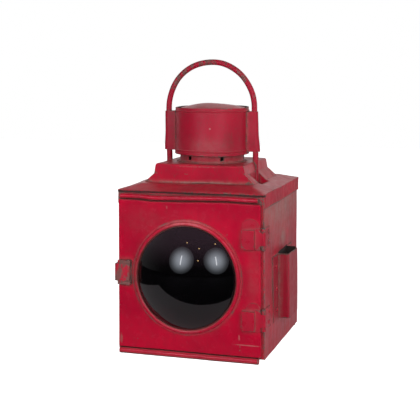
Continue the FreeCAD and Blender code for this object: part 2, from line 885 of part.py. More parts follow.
def make_lens_parts():
    """Bezel, bull's-eye lens, felt seal and the clamp ring with its studs and nuts."""
    spring = s.bezel_sheet + s.bezel_bead_wall
    node(on_door("bezel_ring", [
        (s.bezel_lip, 0), (s.bezel_radius, 0), (s.bezel_radius, s.bezel_sheet),
        (s.bezel_bead, s.bezel_sheet), (s.bezel_bead, spring),
        (s.bezel_bead_in, spring, s.bezel_bead_radius),
        (s.bezel_bead_in, s.bezel_sheet), (s.bezel_lip, s.bezel_sheet),
    ]), "bezel_ring")
    rise = s.lens_bulge - s.lens_edge
    curve = (s.lens_dome * s.lens_dome + rise * rise) / (rise * 2)
    node(on_door("lens", [
        (0, -s.lens_rim), (s.lens_radius, -s.lens_rim), (s.lens_radius, 0), (s.lens_dome, 0),
        (s.lens_dome, s.lens_edge), (0, s.lens_bulge, curve),
    ]), "lens")
    seal_back = s.lens_rim + s.seal_thick
    node(on_door("lens_seal", [
        (s.seal_in, -seal_back), (s.lens_radius, -seal_back),
        (s.lens_radius, -s.lens_rim), (s.seal_in, -s.lens_rim),
    ]), "lens_seal")
    clamp = new_body("lens_clamp")
    ring = sketch_on(clamp, "XY_Plane", -(seal_back + s.sheet))
    circle(ring, 0, 0, s.clamp_radius)
    circle(ring, 0, 0, s.clamp_in)
    pad(clamp, ring, s.sheet)
    hole = sketch_on(clamp, "XY_Plane", -(seal_back + s.sheet))
    diagonal = s.stud_circle * math.sqrt(0.5)
    circle(hole, diagonal, diagonal, s.stud_radius)
    repeat_round(clamp, pocket(clamp, hole, s.sheet * 2, backwards=True), ring, CLAMP_STUDS)
    node(put(clamp, (-s.lens_left, -s.door_face, s.lens_height), OUT_FRONT), "lens_clamp")
    make_clamp_studs(diagonal, seal_back + s.sheet)


def make_clamp_studs(diagonal, clamp_back):
    """Studs soldered to the back of the door, each with its hexagon nut."""
    studs, nuts = [], []
    for across in (-1, 1):
        for rise in (-1, 1):
            x, z = diagonal * across - s.lens_left, s.lens_height + diagonal * rise
            studs.append(rod((x, -(s.door_face - s.sheet), z), s.stud_radius, s.stud_length, "y"))
            nut = doc.addObject("Part::Prism", "Nut")
            bind(nut, Circumradius=s.nut_radius, Height=s.nut_thick)
            put(nut, (x, clamp_back - s.door_face, z), ALONG["y"])
            nuts.append(cut(nut, studs[-1]))
    node(group(studs), "clamp_studs")
    node(group(nuts), "clamp_nuts")


# ---------------------------------------------------------------- hinges


def make_hinge(name, low, crown_left, crown_radius):
    """One strap hinge: a leaf on the door, a leaf on the right wall and a pin."""
    x, y = s.hinge_out, -s.hinge_front
    high = low + s.hinge_tall
    mid_low, mid_high = low + s.knuckle_end + s.knuckle_gap, high - s.knuckle_end - s.knuckle_gap
    bore = rod((x, y, low - s.sheet), s.pin_bore, s.hinge_tall + s.sheet * 2)
    face = -(s.door_face + s.strap_plate)
    band = face - s.strap
    door_leaf = fuse(
        block((s.strap_left, face, low), (s.door_right, -s.door_face, high - s.sheet)),
        common(rod((crown_left, face, high - s.sheet), crown_radius, s.strap_plate, "y"),
               block((s.strap_left, face, low), (s.door_right, -s.door_face, high + s.hinge_tall))),
        block((s.strap_left, face - s.strap_box_proud, low), (s.strap_box, face, high - s.sheet * 2)),
        block((s.strap_box, band, low), (s.strap_edge, face, high)),
        block((s.strap_edge, band, mid_low), (x, face, mid_high)),
        rod((x, y, mid_low), s.knuckle_radius, mid_high - mid_low))
    node(cut(door_leaf, bore), f"door_hinge_{name}")
    room = rod((x, y, low + s.knuckle_end), s.knuckle_radius + s.knuckle_gap,
               s.hinge_tall - s.knuckle_end * 2)
    rivets = [rod((s.case_half, hinge_rivet_y, low + hinge_rivet_rise * quarter), s.rivet_radius,
                  s.strap, "x") for quarter in (1, 3)]
    case_leaf = fuse(
        cut(block((s.case_half, y, low), (s.case_half + s.strap, -s.strap_tail, high)), room),
        rod((x, y, low), s.knuckle_radius, s.knuckle_end),
        rod((x, y, high - s.knuckle_end), s.knuckle_radius, s.knuckle_end))
    node(cut(case_leaf, bore, *rivets), f"case_hinge_{name}")
    node(headed_pin(x, y, low, high), f"hinge_pin_{name}")


def headed_pin(x, y, low, high):
    """A pin with a flat head at each end, just outside what it holds."""
    return fuse(rod((x, y, low - s.head_thick), s.pin_radius, high - low + s.head_thick * 2),
                rod((x, y, low - s.head_thick), s.pin_head, s.head_thick),
                rod((x, y, high), s.pin_head, s.head_thick))


def wall_rivets(places, face):
    """Round-headed rivets through the right wall and what lies on it."""
    rivets = []
    for depth, height in places:
        shank = rod((case_in, depth, height), s.rivet_radius, face - case_in, "x")
        head = dome((face, depth, height), s.rivet_head, s.rivet_dome, OUT_RIGHT)
        tail = dome((case_in, depth, height), s.rivet_head, s.rivet_dome, OUT_LEFT)
        rivets.append(fuse(shank, head, tail))
    return group(rivets)


# ---------------------------------------------------------------- latch


def make_latch():
    """Sprung hasp on a bracket on the door, its tail lying over a stud on the left wall."""
    x, y = -s.latch_left, -s.latch_front
    low, high = s.latch_low, s.latch_high
    bore = rod((x, y, low - s.sheet), s.pin_bore, high - low + s.sheet * 2)
    plate_front = -(s.door_face + s.strap_plate)
    gap = s.knuckle_gap
    left, right = -s.bracket_left, -s.bracket_right
    plate = block((left, plate_front, low), (right, -s.door_face, high))
    lugs = [block((left, -s.lug_front, start), (right, plate_front, end))
            for start, end in ((low, s.hasp_low - gap), (s.hasp_high + gap, high))]
    node(cut(fuse(plate, *lugs), bore), "latch_bracket")
    node(headed_pin(x, y, low, high), "latch_pin")
    front, out = y - s.latch_knuckle, -s.latch_out
    bend_x, bend_y = out + s.latch_bend, front + s.latch_bend
    tall = s.hasp_high - s.hasp_low
    ring = cut(rod((bend_x, bend_y, s.hasp_low), s.latch_bend, tall),
               rod((bend_x, bend_y, s.hasp_low), s.latch_bend - s.latch_sheet, tall))
    bend = common(ring, block((out, front, s.hasp_low), (bend_x, bend_y, s.hasp_high)))
    hasp = fuse(
        rod((x, y, s.hasp_low), s.latch_knuckle, tall),
        block((bend_x, front, s.hasp_low), (x, front + s.latch_sheet, s.hasp_high)),
        bend,
        block((out, bend_y, s.hasp_low), (out + s.latch_sheet, -s.latch_tail, s.hasp_high)))
    hole = rod((out - s.sheet, -s.keeper_depth, latch_middle), s.keeper_dome + gap,
               s.sheet * 3, "x")
    node(cut(hasp, bore, hole), "latch_hasp")


def make_latch_keeper():
    """Round stud on the left wall, under the hole in the hasp's tail."""
    node(dome((-s.case_half, -s.keeper_depth, latch_middle), s.keeper_dome, s.keeper_proud, OUT_LEFT),
         "latch_keeper")


# ---------------------------------------------------------------- lamp-iron socket


def make_lamp_iron_socket():
    """Hat-shaped pocket on the right wall that drops over a bracket on a post or rail."""
    body = new_body("lamp_iron_socket")
    wall, out, thick = s.case_half, s.socket_out, s.socket_sheet
    front, back = -s.socket_front, s.socket_back
    front_end, back_end = front - s.socket_flange, back + s.socket_flange
    sketch = sketch_on(body, "XY_Plane", s.socket_low)
    outline(sketch, [
        (wall, front_end), (wall + thick, front_end), (wall + thick, front), (out, front),
        (out, back), (wall + thick, back), (wall + thick, back_end), (wall, back_end),
        (wall, back - thick), (out - thick, back - thick), (out - thick, front + thick),
        (wall, front + thick)])
    pad(body, sketch, s.socket_high - s.socket_low)
    round_edges(body, s.socket_round, lambda p: near(p.x, out), upright=True)
    slope = sketch_on(body, "YZ_Plane", out - thick * 2)
    outline(slope, [(front + thick, s.socket_high), (back + thick, s.socket_high - s.socket_dip),
                    (back + thick, s.socket_high + thick), (front + thick, s.socket_high + thick)])
    pocket(body, slope, thick * 3, backwards=True)
    holes = sketch_on(body, "YZ_Plane", wall + thick)
    for depth, height in socket_rivet_places():
        circle(holes, depth, height, s.rivet_radius)
    pocket(body, holes, thick * 2)
    node(body, "lamp_iron_socket")


# ---------------------------------------------------------------- font and burner


def make_oil_font():
    """Closed oil tank with a burner hole and a filler hole in its top."""
    body = new_body("oil_font")
    outside = sketch_on(body, "XY_Plane", s.sheet)
    low, high = (-s.font_half, -s.font_front), (s.font_half, s.font_back)
    rectangle(outside, low, high)
    pad(body, outside, s.font_top - s.sheet)
    round_edges(body, s.font_round, lambda p: near(abs(p.x), s.font_half), upright=True)
    wall = s.font_wall
    room = block((low[0] + wall, low[1] + wall, s.sheet + wall),
                 (high[0] - wall, high[1] - wall, s.font_top - wall))
    burner_hole = rod((0, 0, s.font_top - wall * 2), s.burner_bore, wall * 3)
    filler_hole = rod((s.neck_side, -s.neck_front, s.font_top - wall * 2), s.neck_bore, wall * 3)
    node(cut(body, room, burner_hole, filler_hole), "oil_font")


def make_filler():
    """Filler neck soldered to the font, and its screw cap with a ribbed edge."""
    at = (s.neck_side, -s.neck_front, 0)
    node(turned("filler_neck", [
        (s.neck_bore, s.font_top), (s.neck_out, s.font_top), (s.neck_out, s.neck_top),
        (s.neck_bore, s.neck_top)], at), "filler_neck")
    inner = s.neck_out + s.cap_gap
    node(ribbed(turned("filler_cap", [
        (0, s.neck_top + s.cap_gap), (inner, s.neck_top + s.cap_gap),
        (inner, s.font_top + s.sheet * 2), (s.cap_radius, s.font_top + s.sheet * 2),
        (s.cap_radius, s.cap_top), (0, s.cap_top)], at), s.cap_radius, s.cap_top, CAP_RIBS), "filler_cap")


def ribbed(body, radius, top, count):
    """Cut upright flutes all round the rim of a turned body."""
    sketch = sketch_on(body, "XY_Plane", top)
    circle(sketch, radius + s.font_wall / 2, 0, s.font_wall)
    repeat_round(body, pocket(body, sketch, s.cap_top - s.font_top), sketch, count)
    return body


def make_burner():
    """Screwed burner: neck ring, base disc, wick tube and the slotted cone over it."""
    node(turned("burner_collar", [
        (s.burner_bore, s.font_top), (s.burner_foot, s.font_top),
        (s.burner_foot, s.font_top + s.sheet), (s.burner_neck, s.font_top + s.sheet),
        (s.burner_neck, s.burner_neck_top), (s.burner_bore, s.burner_neck_top)]), "burner_collar")
    tube_half = s.wick_width / 2 + s.wick_gap + s.wick_tube_wall
    tube_deep = s.wick_thick / 2 + s.wick_gap + s.wick_tube_wall
    space_half, space_deep = tube_half - s.wick_tube_wall, tube_deep - s.wick_tube_wall
    tube_block = block((-tube_half, -tube_deep, s.wick_tube_low), (tube_half, tube_deep, s.wick_tube_high))
    under = s.burner_top - s.sheet
    disc = turned("burner_base", [
        (0, under), (s.burner_neck, under), (s.burner_neck, s.burner_skirt),
        (s.burner_neck + s.sheet, s.burner_skirt), (s.burner_neck + s.sheet, under),
        (s.burner_disc, under), (s.burner_disc, s.burner_top), (0, s.burner_top)])
    node(cut(disc, tube_block), "burner_base")
    windows = [block((place - s.sprocket_thick, -tube_deep, s.spindle_height - s.sprocket_reach),
                     (place + s.sprocket_thick, as_size(0), s.spindle_height + s.sprocket_reach))
               for place in (-s.sprocket_place, s.sprocket_place)]
    space = block((-space_half, -space_deep, s.wick_tube_low), (space_half, space_deep, s.wick_tube_high))
    node(cut(tube_block, space, *windows), "wick_tube")
    wall = s.cone_sheet
    cone = turned("burner_cone", [
        (s.cone_base, s.burner_top), (s.cone_mouth, s.cone_top, s.cone_radius),
        (s.cone_mouth - wall, s.cone_top), (s.cone_base - wall, s.burner_top, -s.cone_radius)])
    spindle_hole = rod((0, spindle_depth(), s.spindle_height), s.spindle_radius + s.wick_gap,
                       s.knob_start, "x")
    node(cut(cone, spindle_hole), "burner_cone")
    node(block((-s.wick_width / 2, -s.wick_thick / 2, s.wick_low),
               (s.wick_width / 2, s.wick_thick / 2, s.wick_high)), "wick")


def spindle_depth():
    """How far in front of the lamp's middle the wick spindle runs."""
    return -(s.wick_thick / 2 + s.sprocket_reach)


def make_wick_knob():
    """Spindle with a fluted knob outside the cone and two star wheels against the wick."""
    at = (0, spindle_depth(), s.spindle_height)
    knob = turned("wick_knob", [
        (0, -s.spindle_left), (s.spindle_radius, -s.spindle_left), (s.spindle_radius, s.knob_start),
        (s.knob_radius, s.knob_start), (s.knob_radius, s.knob_end), (0, s.knob_end)])
    ribbed(knob, s.knob_radius, s.knob_end, KNOB_RIBS)
    node(put(knob, at, ALONG["x"]), "wick_knob")
    wheels = []
    for place in (-s.sprocket_place, s.sprocket_place):
        bars = []
        for turn in range(SPROCKET_BARS):
            bar = doc.addObject("Part::Box", "Tooth")
            bind(bar, Length=s.sprocket_thick, Width=s.sprocket_radius * 2, Height=s.sprocket_tooth * 2)
            angle = turn * ROUND_TRIP / 2 / SPROCKET_BARS
            spin = Rotation(Vector(1, 0, 0), angle)
            corner = spin.multVec(Vector(0, -s.sprocket_radius.value, -s.sprocket_tooth.value))
            put(bar, (place - s.sprocket_thick / 2, at[1] + corner.y, at[2] + corner.z), spin)
            bars.append(bar)
        hole = rod((place - s.sprocket_thick, at[1], at[2]), s.spindle_radius, s.sprocket_thick * 2, "x")
        wheels.append(cut(fuse(*bars), hole))
    node(group(wheels), "wick_sprockets")


# ---------------------------------------------------------------- reflector and clips


def make_reflector():
    """Dished reflector behind the flame, on an arm from the back wall."""
    centre = (0, s.mirror_back - s.mirror_sphere, s.lens_height)
    outside = ball(centre, s.mirror_sphere)
    inside = ball(centre, s.mirror_sphere - s.mirror_sheet)
    column = rod((0, s.mirror_edge, s.lens_height), s.mirror_radius, s.mirror_back, "y")
    node(cut(common(outside, column), inside), "reflector")
    half_thick = s.arm_thick / 2
    arm = block((-s.arm_half, s.mirror_back - s.arm_thick, s.lens_height - half_thick),
                (s.arm_half, case_in, s.lens_height + half_thick))
    plate = block((-s.arm_plate, case_in - s.sheet, s.lens_height - s.arm_plate),
                  (s.arm_plate, case_in, s.lens_height + s.arm_plate))
    node(cut(fuse(arm, plate), outside), "reflector_arm")


def make_font_clips():
    """Spring strips on the floor that grip the font's two sides."""
    clips = []
    for side in (-1, 1):
        for low, high, top in ((s.font_half, s.font_half + s.clip_sheet, s.clip_high),
                               (s.font_half, s.font_half + s.clip_foot, base_top + s.clip_sheet)):
            if side < 0:
                low, high = -high, -low
            clips.append(block((low, -s.clip_half, base_top), (high, s.clip_half, top)))
    node(group([fuse(*clips[:2]), fuse(*clips[2:])]), "font_clips")


# ---------------------------------------------------------------- the whole lantern


def make_everything():
    """Build every sub-part in the order in which the lantern goes together."""
    make_case_wrap()
    make_front_frame()
    make_base_plate()
    make_roof_and_plinth()
    make_collar()
    make_chimney_tube()
    drum = make_drum()
    make_drum_lid()
    make_lid_spacers()
    make_handle()
    make_sleeve(-1, "left", drum)
    make_sleeve(1, "right", drum)
    make_door_panel()
    make_lens_parts()
    make_hinge("upper", s.hinge_upper, s.upper_crown_middle, s.upper_crown_radius)
    make_hinge("lower", s.hinge_lower, s.lower_crown_middle, s.lower_crown_radius)
    node(wall_rivets(hinge_rivet_places(), s.case_half + s.strap), "hinge_rivets")
    make_latch()
    make_latch_keeper()
    make_lamp_iron_socket()
    node(wall_rivets(socket_rivet_places(), s.case_half + s.socket_sheet), "socket_rivets")
    make_oil_font()
    make_filler()
    make_burner()
    make_wick_knob()
    make_reflector()
    make_font_clips()


def check_everything():
    """Stop if an object failed, or a sub-part has no sound shape."""
    doc.recompute()
    for thing in doc.Objects:
        if "Invalid" in thing.State or "Error" in thing.State:
            raise RuntimeError(f"{thing.Name} ({thing.Label}) is {thing.State}")
    for thing in nodes:
        shape = thing.Shape
        if shape.isNull() or not shape.isValid() or not shape.Solids:
            raise RuntimeError(f"{thing.Label} has no sound shape")


def write_everything():
    """Write one file for each sub-part."""
    os.makedirs("parts", exist_ok=True)
    for thing in nodes:
        thing.Shape.exportStep(os.path.join("parts", f"{thing.Label}.step"))
        print(f"{thing.Label}: {len(thing.Shape.Solids)} solid(s), {thing.Shape.Volume:.0f} mm3")


make_everything()
check_everything()
write_everything()
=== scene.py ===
import json
import math

import bmesh
import bpy
from mathutils import Euler, Matrix, Vector, kdtree, noise

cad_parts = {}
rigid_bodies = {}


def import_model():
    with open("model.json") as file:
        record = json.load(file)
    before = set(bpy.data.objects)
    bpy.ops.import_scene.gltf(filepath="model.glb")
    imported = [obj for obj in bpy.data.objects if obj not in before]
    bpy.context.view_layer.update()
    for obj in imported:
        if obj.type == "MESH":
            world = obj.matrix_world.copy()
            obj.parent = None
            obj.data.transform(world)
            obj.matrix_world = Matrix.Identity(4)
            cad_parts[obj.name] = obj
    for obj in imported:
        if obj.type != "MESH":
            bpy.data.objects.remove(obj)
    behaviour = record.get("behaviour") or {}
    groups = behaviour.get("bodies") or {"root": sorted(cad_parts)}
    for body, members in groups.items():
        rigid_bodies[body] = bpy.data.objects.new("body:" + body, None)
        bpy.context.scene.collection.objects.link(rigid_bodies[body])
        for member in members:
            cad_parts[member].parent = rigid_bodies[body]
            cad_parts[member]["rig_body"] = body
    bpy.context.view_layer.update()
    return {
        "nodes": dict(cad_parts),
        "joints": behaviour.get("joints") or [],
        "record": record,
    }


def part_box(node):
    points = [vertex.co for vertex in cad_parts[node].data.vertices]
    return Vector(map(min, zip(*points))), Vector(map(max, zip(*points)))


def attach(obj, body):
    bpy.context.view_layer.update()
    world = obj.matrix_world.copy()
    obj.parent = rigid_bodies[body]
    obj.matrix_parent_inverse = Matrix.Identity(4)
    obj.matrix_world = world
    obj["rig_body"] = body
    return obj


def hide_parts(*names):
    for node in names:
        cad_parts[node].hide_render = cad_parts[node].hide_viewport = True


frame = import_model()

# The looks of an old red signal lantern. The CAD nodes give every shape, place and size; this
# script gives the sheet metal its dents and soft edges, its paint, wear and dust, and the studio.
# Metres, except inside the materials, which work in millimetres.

MM = 0.001

# The pattern of the dents. Unless it is seeded, noise_vector takes its offsets from the clock.
DENT_PLACE = Vector((3.7, 11.3, 5.9))
DENT_SEED = 1
noise.seed_set(DENT_SEED)

# How the thin sheet has moved over the years: a slow wave across a panel, and small hand dents.
PANEL_WAVE = 75 * MM
PANEL_SHIFT = 1.5 * MM
HAND_WAVE = 26 * MM
HAND_SHIFT = 0.55 * MM

# The sheet stays true near hinge axes and round the lens in the front, and level at the ground.
NEAR_AXIS = (9 * MM, 34 * MM)
NEAR_LENS = (74 * MM, 92 * MM)
FRONT_DEPTH = (4 * MM, 20 * MM)
NEAR_GROUND = (2 * MM, 25 * MM)

# Bends of single pieces.
HANDLE_LEAN = 1 * MM
LEAN_FROM = 255 * MM
SLEEVE_FOOT = 30 * MM
SLEEVE_OPENING = 1.3 * MM
SLEEVE_CORE = 4 * MM
DRUM_FOOT = 22 * MM
DRUM_OPENING = 1.5 * MM
DRUM_CORE = 40 * MM
DRUM_HEM = 3 * MM
PLINTH_RIM = (50 * MM, 60 * MM)
PLINTH_FOOT = 12 * MM
PLINTH_LEAN = 0.12
FOOT_LEAN = 0.93

# The mesh: cuts, soft edges and the places where paint wears.
MERGE = 0.004 * MM
CUT_GAP = 0.01 * MM
EDGE_ROUND = 0.35 * MM
SMALL_EDGE_ROUND = 0.15 * MM
GRID = 6 * MM
SHARP_ANGLE = math.radians(28)
CREASE_ANGLE = math.radians(38)
FLAT_ANGLE = math.radians(0.6)
RIM_STEP = 0.6 * MM
RIM_REACH = 14.0

# The solder lines: size and place are each a middle value and how far the lumps swing it.
SOLDER_STEP = 1.6 * MM
SOLDER_SIDES = 8
SOLDER_LUMP = 5 * MM
SOLDER_SIZE = (0.85 * MM, 0.55 * MM)
SOLDER_PLACE = (0.1 * MM, 0.5 * MM)
SOLDER_WEAR = 0.5

# The lens: its dome stands a step inside the rim, on a short straight edge.
GLASS_STEP = 2.5 * MM
GLASS_EDGE = 4.5 * MM
GLASS_ROUND = 0.6 * MM
GLASS_RINGS = 72
GLASS_SIDES = 160
GLASS_MIDDLE = 0.996

# Places in the frame.
JOINTS = {joint["name"]: joint for joint in frame["joints"]}
HINGE = Vector(JOINTS["door_swing"]["pos_m"])
LATCH = Vector(JOINTS["latch_turn"]["pos_m"])
LENS_LOW, LENS_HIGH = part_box("lens")
LENS_CENTRE = (LENS_LOW + LENS_HIGH) / 2
LENS_RIM = (LENS_HIGH.x - LENS_LOW.x) / 2
CASE_LOW, CASE_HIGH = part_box("case_wrap")
DRUM_LOW, DRUM_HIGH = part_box("drum")
DOOR_LOW, DOOR_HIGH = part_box("door_panel")
HANDLE_LOW, HANDLE_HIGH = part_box("handle")
SLEEVE_LOW, SLEEVE_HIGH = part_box("handle_sleeve_right")
SOCKET_LOW, SOCKET_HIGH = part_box("lamp_iron_socket")
PLINTH_LOW, PLINTH_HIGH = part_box("plinth")
ROOF_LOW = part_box("roof_plate")[0]
PLINTH_WAIST = PLINTH_LOW.z + PLINTH_FOOT

# Half widths and thicknesses, and how far in front of a face is_inside looks.
PLINTH_HALF = 60 * MM
PLINTH_LID = 2 * MM
SOCKET_HALF = 28 * MM
WALL = 1.2 * MM
LOOK = 3 * MM


def ramp(value, low, high):
    """0 at low, 1 at high, eased in between."""
    share = min(1.0, max(0.0, (value - low) / (high - low)))
    return share * share * (3 - 2 * share)


# ---------------------------------------------------------------- sheet metal


def freedom(point):
    """1 where the sheet is free to dent, 0 where something fits closely."""
    free = 1.0
    for axis in (HINGE, LATCH):
        away = math.hypot(point.x - axis.x, point.y - axis.y)
        free *= ramp(away, *NEAR_AXIS)
    from_lens = math.hypot(point.x - LENS_CENTRE.x, point.z - LENS_CENTRE.z)
    near_front = 1 - ramp(point.y - CASE_LOW.y, *FRONT_DEPTH)
    free *= 1 - near_front * (1 - ramp(from_lens, *NEAR_LENS))
    return free


def sheet_shift(point):
    """How far a point of the old sheet has moved from where it was drawn."""
    slow = noise.noise_vector(point / PANEL_WAVE + DENT_PLACE) * PANEL_SHIFT
    quick = noise.noise_vector(point / HAND_WAVE - DENT_PLACE) * HAND_SHIFT
    shift = (slow + quick) * freedom(point)
    shift.z *= ramp(point.z, *NEAR_GROUND)
    return shift


def handle_lean(point):
    """The handle's arch leans a little to the left, and more so on its right leg."""
    up = ramp(point.z, LEAN_FROM, DRUM_HIGH.z)
    side = ramp(point.x, HANDLE_LOW.x, HANDLE_HIGH.x)
    return Vector((-HANDLE_LEAN * up * (1 + side), 0, 0))


def sleeve_spread(point):
    """The sleeves lean with the handle and open a little at the foot."""
    low = 1 - ramp(point.z, SLEEVE_LOW.z, SLEEVE_LOW.z + SLEEVE_FOOT)
    out = ramp(abs(point.x), DRUM_HIGH.x + SLEEVE_CORE, SLEEVE_HIGH.x)
    return handle_lean(point) + Vector((math.copysign(SLEEVE_OPENING * low * out, point.x), 0, 0))


def drum_spread(point):
    """The drum is pressed out of round at its foot."""
    low = 1 - ramp(point.z, DRUM_LOW.z, DRUM_LOW.z + DRUM_FOOT)
    radius = math.hypot(point.x, point.y)
    outer = ramp(radius, DRUM_CORE, DRUM_HIGH.x - DRUM_HEM)
    return Vector((point.x, point.y, 0)) * (DRUM_OPENING * low * outer / max(radius, MM))


def plinth_stand(point):
    """The plinth's front and back stand steep to their foot, and only its sides flare."""
    drop = PLINTH_HIGH.z - point.z
    below = max(0.0, PLINTH_WAIST - point.z)
    outer = ramp(abs(point.y), *PLINTH_RIM)
    pulled_in = (PLINTH_LEAN * drop + FOOT_LEAN * below) * outer
    return Vector((0, -math.copysign(pulled_in, point.y), 0))


def is_sharp(edge):
    return len(edge.link_faces) == 2 and edge.calc_face_angle(0) > SHARP_ANGLE


def edge_points(bm):
    """Points spaced along every outer sharp edge, as a tree for finding the nearest."""
    points = []
    for edge in bm.edges:
        if is_sharp(edge) and edge.calc_face_angle_signed(0) > 0:
            start, end = (corner.co for corner in edge.verts)
            count = max(1, round((end - start).length / RIM_STEP))
            points += [start.lerp(end, (i + 0.5) / count) for i in range(count)]
    tree = kdtree.KDTree(len(points))
    for index, point in enumerate(points):
        tree.insert(point, index)
    tree.balance()
    return tree if points else None


def cut_into_grid(bm, axes):
    """Cuts the faces on evenly spaced planes across the given axes, so that the sheet can bend."""
    for axis in axes:
        places = [vertex.co[axis] for vertex in bm.verts]
        low, high = min(places), max(places)
        count = int((high - low) / GRID)
        across = Vector([float(axis == i) for i in range(3)])
        for step in range(1, count + 1):
            bmesh.ops.bisect_plane(
                bm, geom=bm.verts[:] + bm.edges[:] + bm.faces[:], dist=CUT_GAP,
                plane_co=across * (low + (high - low) * step / (count + 1)), plane_no=across,
            )


def is_inside(centre, normal):
    """Whether a face looks into the case, the roof space, the drum or the socket."""
    seen = centre + normal * LOOK
    in_case = all(CASE_LOW[i] + WALL < seen[i] < CASE_HIGH[i] - WALL for i in range(3))
    radius = math.hypot(seen.x, seen.y)
    in_drum = radius < DRUM_HIGH.x - WALL and CASE_HIGH.z < seen.z < DRUM_HIGH.z
    in_plinth = max(abs(seen.x), abs(seen.y)) < PLINTH_HALF
    in_plinth = in_plinth and CASE_HIGH.z <= seen.z < PLINTH_HIGH.z - PLINTH_LID
    in_socket = CASE_HIGH.x < seen.x < SOCKET_HIGH.x - WALL and abs(seen.y) < SOCKET_HALF - WALL
    in_socket = in_socket and SOCKET_LOW.z < seen.z < SOCKET_HIGH.z
    return in_case or in_plinth or in_socket or (in_drum and normal.xy.dot(centre.xy) < 0)


def finish_mesh(mesh, rims, insides):
    """Stores the wear distances and the inner faces, painted as soot inside the lamp and as shade inside the
    socket, and shades the mesh smoothly.
    """
    rim = mesh.attributes.new("rim", "FLOAT", "POINT")
    rim.data.foreach_set("value", rims)
    inside = mesh.attributes.new("inside", "FLOAT", "FACE")
    inside.data.foreach_set("value", insides)
    mesh.shade_smooth()
    mesh.set_sharp_from_angle(angle=CREASE_ANGLE)


def smooth_normals(piece):
    """Flat faces keep flat light, and the small rounded edges take the turn."""
    weighted = piece.modifiers.new("Normals", "WEIGHTED_NORMAL")
    weighted.keep_sharp = True
    weighted.weight = 50
    return piece


def join_rings(bm, rings):
    """Faces between rings that have the same number of corners."""
    for low, high in zip(rings, rings[1:]):
        for i in range(len(low)):
            j = (i + 1) % len(low)
            bm.faces.new((low[i], low[j], high[j], high[i]))


def solder_lines(bm):
    """Lumpy solder where a sleeve meets the drum, at the front and at the back."""
    side = math.copysign(1, sum(vertex.co.x for vertex in bm.verts))
    for face in (-1, 1):
        rings = []
        for index in range(int((SLEEVE_HIGH.z - SLEEVE_LOW.z) / SOLDER_STEP) + 1):
            z = SLEEVE_LOW.z + index * SOLDER_STEP
            wobble = noise.noise(Vector((side * 9, face * 5, z / SOLDER_LUMP)))
            size, out = (middle + swing * wobble for middle, swing in (SOLDER_SIZE, SOLDER_PLACE))
            centre = Vector((side * (DRUM_HIGH.x + out), face * SLEEVE_HIGH.y, z))
            rings.append([
                bm.verts.new(centre + Vector((math.cos(turn), math.sin(turn), 0)) * size)
                for turn in (math.tau * i / SOLDER_SIDES for i in range(SOLDER_SIDES))
            ])
        join_rings(bm, rings)
        bm.faces.new(rings[0][::-1])
        bm.faces.new(rings[-1])


def linked(node, mesh, material):
    """Puts a mesh in the scene as the piece that takes a CAD node's place."""
    mesh.materials.append(material)
    piece = bpy.data.objects.new(node + "_aged", mesh)
    bpy.context.scene.collection.objects.link(piece)
    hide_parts(node)
    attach(piece, frame["nodes"][node]["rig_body"])
    return piece


def aged(node, material, axes=(0, 1, 2), bend=None, dents=1.0, extra=None):
    """A copy of a CAD node as worn sheet metal: soft edges, slight dents and wear distances."""
    bm = bmesh.new()
    bm.from_mesh(frame["nodes"][node].data)
    bmesh.ops.remove_doubles(bm, verts=bm.verts[:], dist=MERGE)
    bmesh.ops.dissolve_limit(
        bm, angle_limit=FLAT_ANGLE, use_dissolve_boundaries=False, verts=bm.verts[:], edges=bm.edges[:]
    )
    tree = edge_points(bm)
    sharp = [edge for edge in bm.edges if is_sharp(edge)]
    bmesh.ops.bevel(
        bm, geom=sharp, offset=EDGE_ROUND, segments=2, profile=0.6, affect="EDGES", clamp_overlap=True
    )
    cut_into_grid(bm, axes)
    solid = len(bm.verts)
    if extra:
        extra(bm)
    bmesh.ops.triangulate(bm, faces=bm.faces[:])
    bm.normal_update()
    bm.verts.ensure_lookup_table()
    rims = [min(RIM_REACH, tree.find(v.co)[2] / MM) if tree else RIM_REACH for v in bm.verts]
    rims[solid:] = [SOLDER_WEAR] * (len(rims) - solid)
    insides = [float(is_inside(face.calc_center_median(), face.normal)) for face in bm.faces]
    for vertex in bm.verts:
        moved = sheet_shift(vertex.co) * dents
        if bend:
            moved += bend(vertex.co)
        vertex.co += moved
    mesh = bpy.data.meshes.new(node + "_aged")
    bm.to_mesh(mesh)
    bm.free()
    finish_mesh(mesh, rims, insides)
    return smooth_normals(linked(node, mesh, material))


